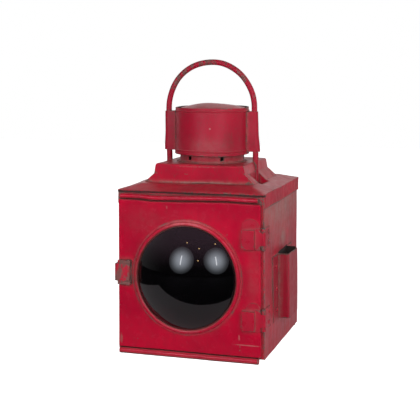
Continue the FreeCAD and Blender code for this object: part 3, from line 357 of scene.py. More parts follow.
def ground_lens(material):
    """The bull's-eye as polished glass: the CAD outline turned finely enough for clean reflections."""
    front, rim = LENS_LOW.y, LENS_RIM
    back, shoulder, edge = LENS_HIGH.y, DOOR_LOW.y, DOOR_LOW.y - GLASS_EDGE
    dome = rim - GLASS_STEP
    rise = edge - front
    curve = (dome * dome + rise * rise) / (rise * 2)
    reach = math.asin(dome / curve)
    profile = [
        (rim - GLASS_ROUND, back), (rim, back - GLASS_ROUND), (rim, shoulder),
        (dome, shoulder), (dome, edge + GLASS_ROUND),
    ]
    for index in range(GLASS_RINGS):
        turn = reach * (1 - index / GLASS_RINGS) * GLASS_MIDDLE
        profile.append((curve * math.sin(turn), front + curve * (1 - math.cos(turn))))
    around = [math.tau * i / GLASS_SIDES for i in range(GLASS_SIDES)]
    bm = bmesh.new()
    rings = []
    for radius, depth in profile:
        rings.append([
            bm.verts.new((
                LENS_CENTRE.x + radius * math.cos(turn), depth, LENS_CENTRE.z + radius * math.sin(turn),
            ))
            for turn in around
        ])
    join_rings(bm, rings)
    for ring, depth in ((rings[0], back), (rings[-1], front)):
        middle = bm.verts.new((LENS_CENTRE.x, depth, LENS_CENTRE.z))
        for i in range(GLASS_SIDES):
            bm.faces.new((ring[i], ring[(i + 1) % GLASS_SIDES], middle))
    bmesh.ops.recalc_face_normals(bm, faces=bm.faces[:])
    mesh = bpy.data.meshes.new("lens_aged")
    bm.to_mesh(mesh)
    bm.free()
    mesh.shade_smooth()
    mesh.set_sharp_from_angle(angle=CREASE_ANGLE)
    linked("lens", mesh, material)


# ---------------------------------------------------------------- materials


class Graph:
    """One material's node tree, built with a short call for each node. Lengths are millimetres."""

    def __init__(self, name):
        self.material = bpy.data.materials.new(name)
        self.material.use_nodes = True
        self.nodes = self.material.node_tree.nodes
        self.links = self.material.node_tree.links
        self.nodes.clear()
        place = {0: self.node("ShaderNodeTexCoord").outputs["Object"], "Scale": 1 / MM}
        self.place = self.node("ShaderNodeVectorMath", place, operation="SCALE").outputs[0]
        self.normal = self.node("ShaderNodeNewGeometry").outputs["Normal"]

    def node(self, kind, inputs=None, **settings):
        """Adds a node. An input that is a socket is linked, and any other is set."""
        made = self.nodes.new(kind)
        for key, value in settings.items():
            setattr(made, key, value)
        for key, value in (inputs or {}).items():
            if isinstance(value, bpy.types.NodeSocket):
                self.links.new(value, made.inputs[key])
            else:
                made.inputs[key].default_value = value
        return made

    def scaled(self, sizes, shift):
        """The place in units of the given sizes, moved along by shift."""
        return self.node("ShaderNodeMapping", {
            "Vector": self.place, "Location": (shift,) * 3, "Scale": tuple(1 / size for size in sizes),
        }).outputs[0]

    def noise(self, size, detail=3.0, stretch=(1, 1, 1), shift=0.0, rough=0.55):
        """A cloud pattern, 0 to 1, whose features are about size across."""
        return self.node("ShaderNodeTexNoise", {
            "Vector": self.scaled([size * side for side in stretch], shift),
            "Scale": 1.0, "Detail": detail, "Roughness": rough,
        }).outputs["Fac"]

    def cells(self, size, shift=0.0):
        """The distance to the nearest of scattered points, in cells."""
        cell = self.node("ShaderNodeTexVoronoi", {"Vector": self.scaled([size] * 3, shift), "Scale": 1.0})
        return cell.outputs["Distance"]

    def away(self, centre, radii):
        """How far a place is from a point, as a share of the given radii."""
        offset = self.vector("SUBTRACT", self.place, centre)
        return self.vector("LENGTH", self.vector("DIVIDE", offset, radii), output="Value")

    def outward(self):
        """1 on a face that looks away from the lantern's middle, 0 on one that looks in."""
        normal = self.node("ShaderNodeTexCoord").outputs["Normal"]
        return self.math("GREATER_THAN", self.vector("DOT_PRODUCT", normal, self.place, output="Value"), 0.0)

    def spot(self, centre, radii):
        """A ragged patch round a point, 1 inside it and 0 away from it."""
        ragged = self.math("MULTIPLY", self.noise(2.5, 3.0, shift=91), 0.8)
        patch = self.ramp(self.math("ADD", self.away(centre, radii), ragged), 1.45, 1.1)
        return self.math("MULTIPLY", patch, self.outward())

    def cloud(self, centre, radii):
        """A broken haze that fades out from a point."""
        broken = self.ramp(self.noise(9, 5.0, shift=47, rough=0.65), 0.30, 0.66, 0.30, 1.0)
        haze = self.math("MULTIPLY", self.ramp(self.away(centre, radii), 1.7, 0.0), broken)
        return self.math("MULTIPLY", haze, self.outward())

    def ramp(self, value, low, high, start=0.0, end=1.0):
        """Eased from start to end while the value goes from low to high."""
        return self.node("ShaderNodeMapRange", {
            "Value": value, "From Min": low, "From Max": high, "To Min": start, "To Max": end,
        }, interpolation_type="SMOOTHSTEP").outputs[0]

    def vector(self, operation, first, second=(0, 0, 0), output="Vector"):
        return self.node("ShaderNodeVectorMath", {0: first, 1: second}, operation=operation).outputs[output]

    def math(self, operation, first, second=0.0):
        return self.node("ShaderNodeMath", {0: first, 1: second}, operation=operation).outputs[0]

    def mix(self, factor, first, second):
        """A colour between two colours."""
        ends = [end if isinstance(end, bpy.types.NodeSocket) else (*end, 1) for end in (first, second)]
        return self.node("ShaderNodeMix", {0: factor, 6: ends[0], 7: ends[1]}, data_type="RGBA").outputs[2]

    def blend(self, factor, first, second):
        """A number between two numbers."""
        return self.node("ShaderNodeMix", {0: factor, 2: first, 3: second}, data_type="FLOAT").outputs[0]

    def attribute(self, name):
        return self.node("ShaderNodeAttribute", attribute_name=name).outputs["Fac"]

    def open_to_air(self, reach):
        """1 on an open surface, less in a corner or a gap."""
        return self.node("ShaderNodeAmbientOcclusion", {"Distance": reach * MM}, samples=6).outputs["AO"]

    def facing(self, direction):
        """How far the surface faces a direction, 1 to -1."""
        return self.vector("DOT_PRODUCT", self.normal, direction, output="Value")

    def bump(self, height, strength=1.0):
        inputs = {"Height": height, "Distance": MM, "Strength": strength}
        return self.node("ShaderNodeBump", inputs).outputs[0]

    def finish(self, **inputs):
        """Ends the tree with a Principled surface."""
        named = {}
        for key, value in inputs.items():
            is_colour = isinstance(value, tuple) and len(value) == 3
            named[key.replace("_", " ").title().replace("Ior", "IOR")] = (*value, 1) if is_colour else value
        surface = self.node("ShaderNodeBsdfPrincipled", named)
        out = self.node("ShaderNodeOutputMaterial")
        self.links.new(surface.outputs[0], out.inputs[0])
        return self.material


# Colours of the paint, of what lies on it and of what shows through it, and of painted shade and a painted
# highlight.
CRIMSON = (0.445, 0.0010, 0.022)
DEEP_CRIMSON = (0.300, 0.0018, 0.018)
FADED_RED = (0.350, 0.012, 0.030)
DUST = (0.300, 0.225, 0.180)
FADED_WALL = (0.300, 0.075, 0.075)
GRIME_AND_SHADE = (0.070, 0.040, 0.030)
BARE_METAL = (0.185, 0.150, 0.120)
DARK_METAL = (0.075, 0.055, 0.045)
SOOT_AND_SHADOW = (0.022, 0.014, 0.012)
SOOTY_RED_AND_SHADE = (0.085, 0.012, 0.014)
PALE = (0.42, 0.33, 0.28)
PAINTED_HIGHLIGHT_PINK = (0.55, 0.10, 0.11)


def red_paint(name, wear=1.0, dust=1.0, rub=0.0, shine=0.3, streaks=0.0, gloss=0.4, deep=0.0,
              marks=(), clouds=()):
    """Old crimson paint on sheet steel.

    wear widens the bare edges, rub adds bare patches, streaks adds runs down a wall and deep darkens
    the red. shine is the paint's roughness, and gloss is how strongly it mirrors. Each mark, ragged,
    and each cloud, soft, is a colour, a centre, three radii and a strength.
    """
    g = Graph(name)
    blotch = g.ramp(g.noise(48, 2.0), 0.35, 0.68)
    mottle = g.noise(7.5, 4.0, shift=20)
    smear = g.noise(9, 3.0, stretch=(1, 1, 6), shift=41)
    shade = g.math("ADD", g.math("MULTIPLY", blotch, 0.65 * (1 - deep)), deep)
    colour = g.mix(shade, CRIMSON, DEEP_CRIMSON)
    colour = g.mix(g.ramp(mottle, 0.52, 0.80, 0.0, 0.45), colour, FADED_RED)
    colour = g.mix(g.ramp(smear, 0.50, 0.78, 0.0, 0.35), colour, DEEP_CRIMSON)
    runs = g.noise(5, 4.0, stretch=(1, 1, 16), shift=58)
    if streaks:
        colour = g.mix(g.ramp(runs, 0.44, 0.66, 0.0, 0.75 * streaks), colour, FADED_WALL)

    up = g.ramp(g.facing((0, 0, 1)), 0.15, 0.95)
    film = g.ramp(g.noise(8, 5.0, shift=63, rough=0.68), 0.32, 0.78, 0.03, 0.20)
    settled = g.math("MULTIPLY", up, film)
    colour = g.mix(g.math("MULTIPLY", settled, dust), colour, DUST)
    for tone, centre, radii, strength in clouds:
        colour = g.mix(g.math("MULTIPLY", g.cloud(centre, radii), strength), colour, tone)
    grain = g.noise(3.6, 5.0, stretch=(1, 1, 1.6), shift=130, rough=0.72)
    colour = g.mix(g.ramp(grain, 0.50, 0.70, 0.0, 0.34 * dust), colour, GRIME_AND_SHADE)

    open_air = g.open_to_air(7)
    ragged = g.ramp(g.noise(5, 3.0, shift=87), 0.25, 0.70, 0.35, 1.0)
    crease = g.math("MULTIPLY", g.ramp(open_air, 0.92, 0.50), ragged)
    colour = g.mix(g.math("MULTIPLY", crease, 0.55 * dust), colour, DUST)
    # Painted shade: the more closed in a gap or corner, the darker its colour.
    colour = g.mix(g.ramp(open_air, 0.58, 0.22, 0.0, 0.88), colour, GRIME_AND_SHADE)

    width = g.ramp(g.noise(15, 3.0, shift=105), 0.44, 0.74, 0.10 * wear, 1.9 * wear)
    width = g.math("ADD", width, g.ramp(g.noise(2.2, 2.0, shift=9), 0.30, 0.70, -0.6, 0.6))
    bare = g.ramp(g.math("SUBTRACT", width, g.attribute("rim")), -0.05, 0.30, 0.0, 0.9)
    chip = g.ramp(g.cells(17, shift=5), 0.055, 0.035, 0.0, 0.9)
    bare = g.math("MAXIMUM", bare, chip)
    if rub:
        patch = g.ramp(g.noise(8, 5.0, stretch=(1, 1, 2), shift=33, rough=0.65), 0.62 - rub, 0.70 - rub)
        bare = g.math("MAXIMUM", bare, g.math("MULTIPLY", patch, 0.8))
    metal = g.mix(g.noise(3, 3.0, shift=71), BARE_METAL, DARK_METAL)
    colour = g.mix(g.math("MULTIPLY", bare, 0.85), colour, metal)
    for tone, centre, radii, strength in marks:
        colour = g.mix(g.math("MULTIPLY", g.spot(centre, radii), strength), colour, tone)

    # Inner faces: soot inside the lamp, and painted shade in the socket's hole.
    inside = g.attribute("inside")
    soot_and_shade = g.mix(g.ramp(g.noise(14, 4.0, shift=52), 0.45, 0.75, 0.0, 0.5), SOOT_AND_SHADOW, SOOTY_RED_AND_SHADE)
    colour = g.mix(inside, colour, soot_and_shade)

    rough = g.ramp(g.noise(10, 4.0, shift=77), 0.25, 0.75, shine - 0.05, shine + 0.08)
    rough = g.blend(g.math("MAXIMUM", crease, g.math("MULTIPLY", settled, dust)), rough, 0.80)
    rough = g.blend(bare, rough, 0.58)
    rough = g.blend(inside, rough, 0.75)
    lumps = g.math("MULTIPLY", runs if streaks else g.noise(5.5, 3.0, shift=14), 0.10)
    skin = g.math("MULTIPLY", g.noise(1.1, 2.0, shift=28), 0.02)
    step = g.math("MULTIPLY", bare, -0.09)
    height = g.math("ADD", g.math("ADD", lumps, skin), step)
    return g.finish(
        base_color=colour, roughness=rough, metallic=g.math("MULTIPLY", bare, 0.35),
        specular_ior_level=gloss, normal=g.bump(height),
    )


def worked_metal(name, light, dark, stain, shine, size=9.0, metallic=0.9):
    """Bare metal with uneven tone, stains in its corners and fine scratches."""
    g = Graph(name)
    colour = g.mix(g.ramp(g.noise(size, 4.0), 0.35, 0.70), light, dark)
    spots = g.ramp(g.noise(size * 0.35, 4.0, shift=31, rough=0.7), 0.56, 0.74)
    crease = g.ramp(g.open_to_air(4), 0.85, 0.35)
    dirty = g.math("MAXIMUM", g.math("MULTIPLY", spots, 0.7), g.math("MULTIPLY", crease, 0.8))
    colour = g.mix(dirty, colour, stain)
    rough = g.ramp(g.noise(size * 0.6, 4.0, shift=12), 0.3, 0.7, shine - 0.09, shine + 0.12)
    rough = g.blend(dirty, rough, 0.72)
    scratch = g.math("MULTIPLY", g.noise(0.8, 2.0, stretch=(9, 1, 1), shift=3), 0.03)
    dents = g.math("MULTIPLY", g.noise(6, 2.0, shift=17), 0.10)
    return g.finish(
        base_color=colour, roughness=rough, metallic=g.blend(dirty, metallic, 0.2),
        normal=g.bump(g.math("ADD", scratch, dents)),
    )


def dark_glass(name):
    """Thick polished glass over a dark lantern, with haze, a dirty rim and a film where it faces up."""
    g = Graph(name)
    clear, hazy = (0.0004, 0.0003, 0.0005), (0.0012, 0.0008, 0.0012)
    filmed, rim_dirt = (0.021, 0.012, 0.016), (0.018, 0.010, 0.010)
    haze = g.ramp(g.noise(22, 4.0), 0.40, 0.75)
    speck = g.ramp(g.cells(3.1), 0.10, 0.06)
    near_rim = g.ramp(g.open_to_air(8), 0.85, 0.45)
    colour = g.mix(haze, clear, hazy)
    film = g.ramp(g.facing((0, 0, 1)), 0.12, 0.62)
    colour = g.mix(film, colour, filmed)
    colour = g.mix(g.math("MULTIPLY", near_rim, 0.5), colour, rim_dirt)
    colour = g.mix(g.math("MULTIPLY", speck, 0.03), colour, DUST)
    rough = g.blend(haze, 0.030, 0.060)
    rough = g.blend(near_rim, rough, 0.35)
    return g.finish(base_color=colour, roughness=rough, ior=1.52, normal=g.bump(g.noise(30, 1.0), 0.15))


def felt(name):
    """Pressed dark felt."""
    g = Graph(name)
    fibre = g.noise(0.6, 4.0, rough=0.8)
    colour = g.mix(fibre, (0.050, 0.040, 0.032), (0.150, 0.120, 0.090))
    pile = g.bump(g.math("MULTIPLY", fibre, 0.5))
    return g.finish(base_color=colour, roughness=0.95, sheen_weight=0.3, normal=pile)


def woven_cotton(name, top):
    """Flat wick: crossed threads, charred towards its top."""
    g = Graph(name)
    parts = g.node("ShaderNodeSeparateXYZ", {0: g.place})
    across = g.math("SINE", g.math("MULTIPLY", parts.outputs["X"], math.tau / 1.4))
    along = g.math("SINE", g.math("MULTIPLY", parts.outputs["Z"], math.tau / 1.1))
    thread = g.math("MULTIPLY", across, along)
    colour = g.mix(g.ramp(thread, -0.8, 0.9), (0.34, 0.29, 0.20), (0.62, 0.56, 0.43))
    burnt = g.math("ADD", parts.outputs["Z"], g.ramp(g.noise(4, 3.0), 0.3, 0.7, -2, 2))
    colour = g.mix(g.ramp(burnt, top - 8, top - 2), colour, (0.012, 0.010, 0.009))
    return g.finish(base_color=colour, roughness=0.95, normal=g.bump(g.math("MULTIPLY", thread, 0.25)))


# ---------------------------------------------------------------- pieces

SLOTS = {part["node"]: part["material_slot"] for part in frame["record"]["subparts"]}

# Faces and levels that the marks lie on, in millimetres like the materials.
FRONT = DOOR_LOW.y / MM
DOOR_FOOT = DOOR_LOW.z / MM
DOOR_TOP = DOOR_HIGH.z / MM
SIDE = CASE_HIGH.x / MM
DRUM_MIDDLE = (DRUM_LOW.z + DRUM_HIGH.z) / 2 / MM
PLINTH_FRONT = -PLINTH_HALF / MM
PLINTH_TOP = PLINTH_HIGH.z / MM
ROOF_FRONT = ROOF_LOW.y / MM
FLANGE_FOOT = ROOF_LOW.z / MM
RAIL_TOP = CASE_HIGH.z / MM

# A scratched line and a tick by the lower hinge, a chip at the top and a worn left edge.
DOOR_MARKS = (
    (PALE, (79, FRONT, DOOR_FOOT + 15), (20, 6, 0.8), 0.25),
    (PALE, (68, FRONT, DOOR_FOOT + 24), (0.9, 6, 4), 0.26),
    (PALE, (-30, FRONT, DOOR_TOP - 8), (1.0, 6, 2.5), 0.22),
    (BARE_METAL, (-94, FRONT, DOOR_FOOT + 11), (2, 6, 7), 0.35),
)
# Deeper red beside the lens, and faded red above the latch and between the hinges.
DOOR_CLOUDS = (
    (DEEP_CRIMSON, (70, FRONT, DOOR_FOOT + 96), (12, 6, 22), 0.6),
    (FADED_WALL, (-60, FRONT, DOOR_TOP - 26), (30, 6, 18), 0.20),
    (FADED_WALL, (87, FRONT, DOOR_FOOT + 101), (9, 6, 34), 0.35),
)
# The lens ring has a painted highlight at its top and painted shade at its left.
RING_HIGHLIGHT_AND_SHADE = (
    (PAINTED_HIGHLIGHT_PINK, (-2, FRONT - 5, DOOR_TOP - 27), (40, 14, 9), 0.85),
    (GRIME_AND_SHADE, (-72, FRONT - 5, DOOR_FOOT + 86), (7, 12, 50), 0.6),
)
# A pale chip on the drum, darker low on its right and paler red low in front.
DRUM_MARKS = ((PALE, (12, -49.5, DRUM_MIDDLE + 4.75), (1.6, 4, 1.3), 0.32),)
DRUM_CLOUDS = (
    (GRIME_AND_SHADE, (34, -38, DRUM_MIDDLE - 15.75), (7, 12, 12), 0.45),
    (FADED_WALL, (5, -50, DRUM_MIDDLE - 18.75), (28, 12, 12), 0.45),
)
# Dusty lines at the plinth's foot and under its top edge, and two darker patches.
PLINTH_MARKS = (
    (DUST, (0, PLINTH_FRONT - 14, PLINTH_TOP - 24), (75, 16, 1.6), 0.45),
    (DUST, (0, PLINTH_FRONT + 4, PLINTH_TOP - 3), (60, 8, 1.4), 0.35),
)
PLINTH_CLOUDS = (
    (DEEP_CRIMSON, (34, PLINTH_FRONT, PLINTH_TOP - 12), (10, 16, 16), 0.7),
    (DEEP_CRIMSON, (-30, PLINTH_FRONT, PLINTH_TOP - 10), (14, 16, 9), 0.6),
)
# A painted shadow: the dark gap under the roof's front rim.
ROOF_SHADOW_MARKS = ((SOOT_AND_SHADOW, (0, ROOF_FRONT - 2.8, RAIL_TOP + 1.2), (400, 12, 1.5), 0.92),)
# A painted shadow as the dark line under the roof's flange, dust below it and over the socket, deeper red at
# the back.
WALL_SHADOW_MARKS = ((GRIME_AND_SHADE, (SIDE, 0, FLANGE_FOOT - 0.6), (12, 160, 1.4), 0.75),)
WALL_CLOUDS = (
    (DUST, (SIDE, -10, FLANGE_FOOT + 1.5), (20, 130, 42), 0.55),
    (DEEP_CRIMSON, (SIDE, 75, 90), (20, 50, 75), 0.6),
    (DUST, (SIDE, 6, SOCKET_HIGH.z / MM + 17.5), (9, 14, 9), 0.60),
)


def shared(material, *nodes):
    """The same material for several nodes."""
    return dict.fromkeys(nodes, material)


PAINTS = {
    **shared(
        red_paint("front_paint", wear=0.9, dust=0.4, shine=0.22, gloss=0.22), "front_frame", "base_plate",
    ),
    **shared(
        red_paint("dull_paint", wear=0.9, shine=0.46, gloss=0.3, deep=0.55),
        "collar", "handle_sleeve_left", "handle_sleeve_right", "lid_spacers",
    ),
    # The leg cups' paint is a deeper red with little dust, a painted shade for the groove beside each leg.
    **shared(
        red_paint("cup_paint_shaded", wear=0.5, dust=0.4, shine=0.45, gloss=0.15, deep=0.3),
        "leg_cup_left", "leg_cup_right",
    ),
    **shared(
        red_paint("hinge_paint", wear=0.45, dust=0.7, shine=0.30, gloss=0.35, deep=0.3),
        "door_hinge_upper", "door_hinge_lower", "case_hinge_upper", "case_hinge_lower",
    ),
    **shared(
        red_paint("worn_paint", wear=2.6, dust=1.2, rub=0.16, shine=0.40),
        "latch_hasp", "latch_bracket", "latch_keeper",
    ),
    **shared(
        red_paint("rivet_paint", wear=0.8, shine=0.30, gloss=0.3, deep=0.1), "hinge_rivets", "socket_rivets",
    ),
    "door_panel": red_paint(
        "door_paint", wear=0.9, dust=0.4, shine=0.22, gloss=0.14, marks=DOOR_MARKS, clouds=DOOR_CLOUDS,
    ),
    "bezel_ring": red_paint(
        "bezel_paint", wear=0.8, dust=0.5, shine=0.28, gloss=0.35, clouds=RING_HIGHLIGHT_AND_SHADE,
    ),
    "drum": red_paint(
        "drum_paint", wear=0.9, shine=0.46, gloss=0.3, deep=0.55, marks=DRUM_MARKS, clouds=DRUM_CLOUDS,
    ),
    "drum_lid": red_paint("lid_paint", wear=0.8, dust=1.6, shine=0.40, gloss=0.38),
    "handle": red_paint("handle_paint", wear=1.0, dust=0.8, rub=0.10, shine=0.48, gloss=0.25, deep=0.6),
    "plinth": red_paint(
        "plinth_paint", wear=0.9, dust=1.3, shine=0.38, gloss=0.14, marks=PLINTH_MARKS, clouds=PLINTH_CLOUDS,
    ),
    "roof_plate": red_paint(
        "roof_paint", wear=0.35, dust=1.1, shine=0.36, gloss=0.18, marks=ROOF_SHADOW_MARKS,
    ),
    "lamp_iron_socket": red_paint(
        "socket_paint", wear=1.0, dust=1.0, shine=0.40, streaks=0.5, deep=0.85,
    ),
    "case_wrap": red_paint(
        "wall_paint", wear=0.7, dust=0.8, shine=0.34, streaks=1.0, marks=WALL_SHADOW_MARKS, clouds=WALL_CLOUDS,
    ),
}

METALS = {
    "pin_steel": worked_metal(
        "pin_steel", (0.30, 0.27, 0.24), (0.16, 0.13, 0.11), (0.10, 0.045, 0.025), 0.42, size=3.0,
    ),
    "sooty_steel": worked_metal(
        "sooty_steel", (0.060, 0.052, 0.046), (0.022, 0.019, 0.017), (0.008, 0.007, 0.006), 0.62,
        metallic=0.3,
    ),
    "tinplate": worked_metal(
        "tinplate", (0.50, 0.49, 0.46), (0.33, 0.32, 0.29), (0.13, 0.085, 0.05), 0.34, size=16.0,
    ),
    "burner_brass": worked_metal(
        "burner_brass", (0.58, 0.40, 0.15), (0.30, 0.19, 0.07), (0.055, 0.040, 0.025), 0.30, size=6.0,
    ),
    "mirror_metal": worked_metal(
        "mirror_metal", (0.80, 0.79, 0.76), (0.62, 0.60, 0.56), (0.20, 0.17, 0.13), 0.16, size=20.0,
        metallic=1.0,
    ),
    "lens_glass": dark_glass("lens_glass"),
    "seal_felt": felt("seal_felt"),
    "wick_cotton": woven_cotton("wick_cotton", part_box("wick")[1].z / MM),
}

# How far a piece follows the dents, which are cut on level planes only or not at all, and bends.
STIFF = {"handle": 0.8, "collar": 0.6, "drum": 0.9, "lamp_iron_socket": 0.35, "case_wrap": 0.75}
ROUND = {"drum", "drum_lid", "collar"}
TRUE_SHAPE = {"bezel_ring", "hinge_rivets", "socket_rivets", "lid_spacers", "latch_keeper"}
BENDS = {
    "handle": handle_lean, "handle_sleeve_left": sleeve_spread, "handle_sleeve_right": sleeve_spread,
    "drum": drum_spread, "plinth": plinth_stand,
}


def red_piece(node):
    """A painted node as worn sheet metal."""
    axes = () if node in TRUE_SHAPE else (2,) if node in ROUND else (0, 1, 2)
    extra = solder_lines if node.startswith("handle_sleeve") else None
    aged(node, PAINTS[node], axes, BENDS.get(node), STIFF.get(node, 1.0), extra)


def carried_over(node, slot):
    """A CAD node that is shown as it is, with softened edges and its own material."""
    piece = frame["nodes"][node]
    piece.data.materials.clear()
    piece.data.materials.append(METALS[slot])
    weld = piece.modifiers.new("Weld", "WELD")
    weld.merge_threshold = MERGE
    bevel = piece.modifiers.new("Edges", "BEVEL")
    bevel.width = SMALL_EDGE_ROUND
    bevel.segments = 2
    bevel.limit_method = "ANGLE"
    bevel.angle_limit = SHARP_ANGLE
    smooth_normals(piece)


for node, slot in SLOTS.items():
    if slot == "red_paint":
        red_piece(node)
ground_lens(METALS["lens_glass"])
for node, slot in SLOTS.items():
    if slot not in ("red_paint", "lens_glass"):
        carried_over(node, slot)


# ---------------------------------------------------------------- studio

# The camera stands in front of the lantern and to its right.
CAMERA_PLACE = Vector((408, -1327, 389)) * MM
CAMERA_TURN = math.radians(17.17)
CAMERA_ROLL = math.radians(0.16)
CAMERA_LENS = 84.77
CAMERA_SHIFT = {"shift_x": -0.0017, "shift_y": -0.3576}

# Distances, sizes and glow of the lamps, from the middle of the lens.
SOFTBOX_FAR = 1.3
SOFTBOX_RADIUS = 0.475
SOFTBOX_GLOW = 5.3
SOFTBOX_RISE = math.radians(20.5)
SOFTBOX_SIDES = (math.radians(-18), math.radians(42))
SOFTBOX_TINT = (0.82, 0.89, 1.0)
SOFTBOX_FADE = {"From Min": 0.02, "From Max": 0.50, "To Min": 1.30, "To Max": 0.10}
TUBE_SIZE = (0.035, 0.30)
TUBE_GLOW = 9.0
TUBE_NEARER = 0.05

# Small lamps and broad fills, placed by degrees to the side of straight out of the lens and degrees
# up. A fill has its name first and its glow last.
BULBS = ((-16, 48), (47, 46), (12, 41), (11, 22))
BULB_SIZE = 0.035
BULB_GLOW = 26.0
BULB_TINT = (1.0, 0.62, 0.25)
FILLS = (("Fill_front", 5, 30, 2.4), ("Fill_side", 68, 22, 2.2))
FILL_SIZE = 1.4
FILL_FAR = 2.2

# The room as the lantern mirrors it: a small table in a dark room, and a white wall behind.
TABLE_FRONT = 0.20
TABLE_LEFT = 0.36
TABLE_TONE = (0.66, 0.60, 0.61)
OFF_TABLE = (0.02, 0.02, 0.02)
FLOOR_TONE = (0.80, 0.80, 0.80)
FLOOR_HALF = 3.0
FLOOR_CUTS = 24
FLOOR_DROP = 0.2 * MM
ROOM_GLOW = 0.02
# How the white wall comes and goes: a way's share from, to, and the light at each.
WALL_BY_DEPTH = (-0.55, 0.45, 0.0, 1.15)
WALL_BY_HEIGHT = (0.38, 0.72, 1.0, 0.10)
WALL_BY_SIDE = (-0.95, -0.50, 0.14, 1.0)


def camera():
    """A level camera whose frame is shifted down. The shift holds only at the camera's own place."""
    data = bpy.data.cameras.new("Camera")
    data.lens = CAMERA_LENS
    made = bpy.data.objects.new("Camera", data)
    home = bpy.data.objects.new("Camera_home", None)
    for part in (made, home):
        part.location = CAMERA_PLACE
        bpy.context.scene.collection.objects.link(part)
    made.rotation_euler = Euler((math.pi / 2, CAMERA_ROLL, CAMERA_TURN))
    bpy.context.scene.camera = made
    for name, shift in CAMERA_SHIFT.items():
        curve = data.driver_add(name)
        curve.driver.type = "AVERAGE"
        away = curve.driver.variables.new()
        away.type = "LOC_DIFF"
        away.targets[0].id, away.targets[1].id = made, home
        for rule in list(curve.modifiers):
            curve.modifiers.remove(rule)
        curve.keyframe_points.add(2)
        for point, place, value in zip(curve.keyframe_points, (0.0, MM), (shift, 0.0)):
            point.co = (place, value)
            point.interpolation = "LINEAR"


def area_light(name, place, target, glow, size, shape):
    """A flat lamp of a given brightness that faces target and that the camera doesn't see."""
    data = bpy.data.lights.new(name, "AREA")
    data.shape = shape
    data.size, data.size_y = size
    area = size[0] * size[1] * (math.pi / 4 if shape == "ELLIPSE" else 1)
    data.energy = glow * math.pi * area
    made = bpy.data.objects.new(name, data)
    made.location = place
    made.rotation_euler = (target - place).to_track_quat("-Z", "Y").to_euler()
    made.visible_camera = False
    bpy.context.scene.collection.objects.link(made)
    return made


def direction(side, rise):
    """The way from the lens towards a side angle, 0 straight out, and an angle above level."""
    return Vector((math.sin(side) * math.cos(rise), -math.cos(side) * math.cos(rise), math.sin(rise)))


def fade_to_edge(lamp):
    """Makes a round lamp brighter in its middle, with a soft edge."""
    lamp.data.use_nodes = True
    tree = lamp.data.node_tree
    spot = tree.nodes.new("ShaderNodeNewGeometry")
    away = tree.nodes.new("ShaderNodeVectorMath")
    away.operation = "DISTANCE"
    away.inputs[1].default_value = (0.5, 0.5, 0)
    tree.links.new(spot.outputs["Parametric"], away.inputs[0])
    glow = tree.nodes.new("ShaderNodeMapRange")
    glow.interpolation_type = "SMOOTHSTEP"
    for key, value in SOFTBOX_FADE.items():
        glow.inputs[key].default_value = value
    tree.links.new(away.outputs["Value"], glow.inputs["Value"])
    tree.links.new(glow.outputs[0], tree.nodes["Emission"].inputs["Strength"])


def softboxes():
    """Two round soft boxes, one each side of the camera, with their brighter tubes, and small bulbs."""
    for index, side in enumerate(SOFTBOX_SIDES):
        way = direction(side, SOFTBOX_RISE)
        place = LENS_CENTRE + way * SOFTBOX_FAR
        round_size = (SOFTBOX_RADIUS * 2,) * 2
        box = area_light(f"Softbox{index}", place, LENS_CENTRE, SOFTBOX_GLOW, round_size, "ELLIPSE")
        box.data.color = SOFTBOX_TINT
        fade_to_edge(box)
        area_light(f"Tube{index}", place - way * TUBE_NEARER, LENS_CENTRE, TUBE_GLOW, TUBE_SIZE, "RECTANGLE")
    for index, (side, rise) in enumerate(BULBS):
        place = LENS_CENTRE + direction(math.radians(side), math.radians(rise)) * SOFTBOX_FAR
        bulb = area_light(f"Bulb{index}", place, LENS_CENTRE, BULB_GLOW, (BULB_SIZE,) * 2, "ELLIPSE")
        bulb.data.color = BULB_TINT
    for name, side, rise, glow in FILLS:
        place = LENS_CENTRE + direction(math.radians(side), math.radians(rise)) * FILL_FAR
        area_light(name, place, LENS_CENTRE, glow, (FILL_SIZE,) * 2, "SQUARE").visible_glossy = False


def sight():
    """The level ways straight away from the camera and to its right."""
    away = Vector((-math.sin(CAMERA_TURN), math.cos(CAMERA_TURN), 0))
    return away, Vector((away.y, -away.x, 0))


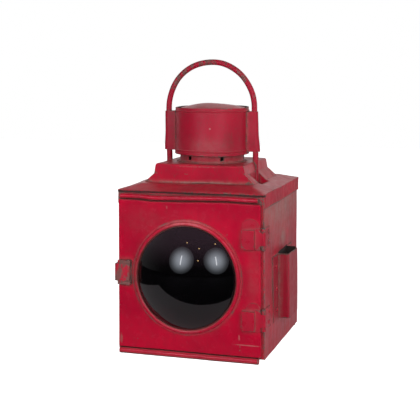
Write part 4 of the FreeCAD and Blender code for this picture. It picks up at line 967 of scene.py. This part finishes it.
def world():
    """White to the camera. To the object, a dark room in front and above, and a white wall behind."""
    made = bpy.data.worlds.new("World")
    bpy.context.scene.world = made
    made.use_nodes = True
    tree = made.node_tree
    tree.nodes.clear()
    link = tree.links.new

    def new(kind, **settings):
        node = tree.nodes.new(kind)
        for key, value in settings.items():
            setattr(node, key, value)
        return node

    def fall(value, low, high, start, end):
        node = new("ShaderNodeMapRange", interpolation_type="SMOOTHSTEP")
        for key, amount in (("From Min", low), ("From Max", high), ("To Min", start), ("To Max", end)):
            node.inputs[key].default_value = amount
        link(value, node.inputs["Value"])
        return node.outputs[0]

    way = new("ShaderNodeTexCoord").outputs["Generated"]
    away, right = sight()

    def along(axis):
        node = new("ShaderNodeVectorMath", operation="DOT_PRODUCT")
        node.inputs[1].default_value = axis
        link(way, node.inputs[0])
        return node.outputs["Value"]

    wall = None
    for value in (
        fall(along(away), *WALL_BY_DEPTH),
        fall(along(Vector((0, 0, 1))), *WALL_BY_HEIGHT),
        fall(along(right), *WALL_BY_SIDE),
    ):
        product = new("ShaderNodeMath", operation="MULTIPLY")
        product.inputs[0].default_value = 1.0
        if wall:
            link(wall.outputs[0], product.inputs[0])
        link(value, product.inputs[1])
        wall = product
    glow = new("ShaderNodeMath", operation="ADD")
    glow.inputs[1].default_value = ROOM_GLOW
    link(wall.outputs[0], glow.inputs[0])
    seen = new("ShaderNodeMix")
    seen.inputs[3].default_value = 1.0
    link(new("ShaderNodeLightPath").outputs["Is Camera Ray"], seen.inputs[0])
    link(glow.outputs[0], seen.inputs[2])
    background = new("ShaderNodeBackground")
    background.inputs["Color"].default_value = (1, 1, 1, 1)
    link(seen.outputs[0], background.inputs["Strength"])
    link(background.outputs[0], new("ShaderNodeOutputWorld").inputs[0])


def floor():
    """A plain pale floor. In mirrored light it ends in front and at the left, like a table."""
    bm = bmesh.new()
    bmesh.ops.create_grid(bm, x_segments=FLOOR_CUTS, y_segments=FLOOR_CUTS, size=FLOOR_HALF)
    mesh = bpy.data.meshes.new("Floor")
    bm.to_mesh(mesh)
    bm.free()
    made = bpy.data.objects.new("Floor", mesh)
    made.location.z = -FLOOR_DROP
    g = Graph("floor")
    path = g.node("ShaderNodeLightPath")
    off_table = 0.0
    for axis, limit in zip(sight(), (TABLE_FRONT, TABLE_LEFT)):
        along = g.vector("DOT_PRODUCT", g.place, axis, output="Value")
        off_table = g.math("MAXIMUM", off_table, g.math("LESS_THAN", along, -limit / MM))
    mirrored = g.mix(off_table, TABLE_TONE, OFF_TABLE)
    colour = g.mix(path.outputs["Is Glossy Ray"], FLOOR_TONE, mirrored)
    mesh.materials.append(g.finish(
        base_color=colour, roughness=0.9, specular_ior_level=0.1,
        emission_color=(1.0, 1.0, 1.0), emission_strength=path.outputs["Is Camera Ray"],
    ))
    bpy.context.scene.collection.objects.link(made)


camera()
softboxes()
world()
floor()
bpy.context.scene.view_settings.view_transform = "Standard"
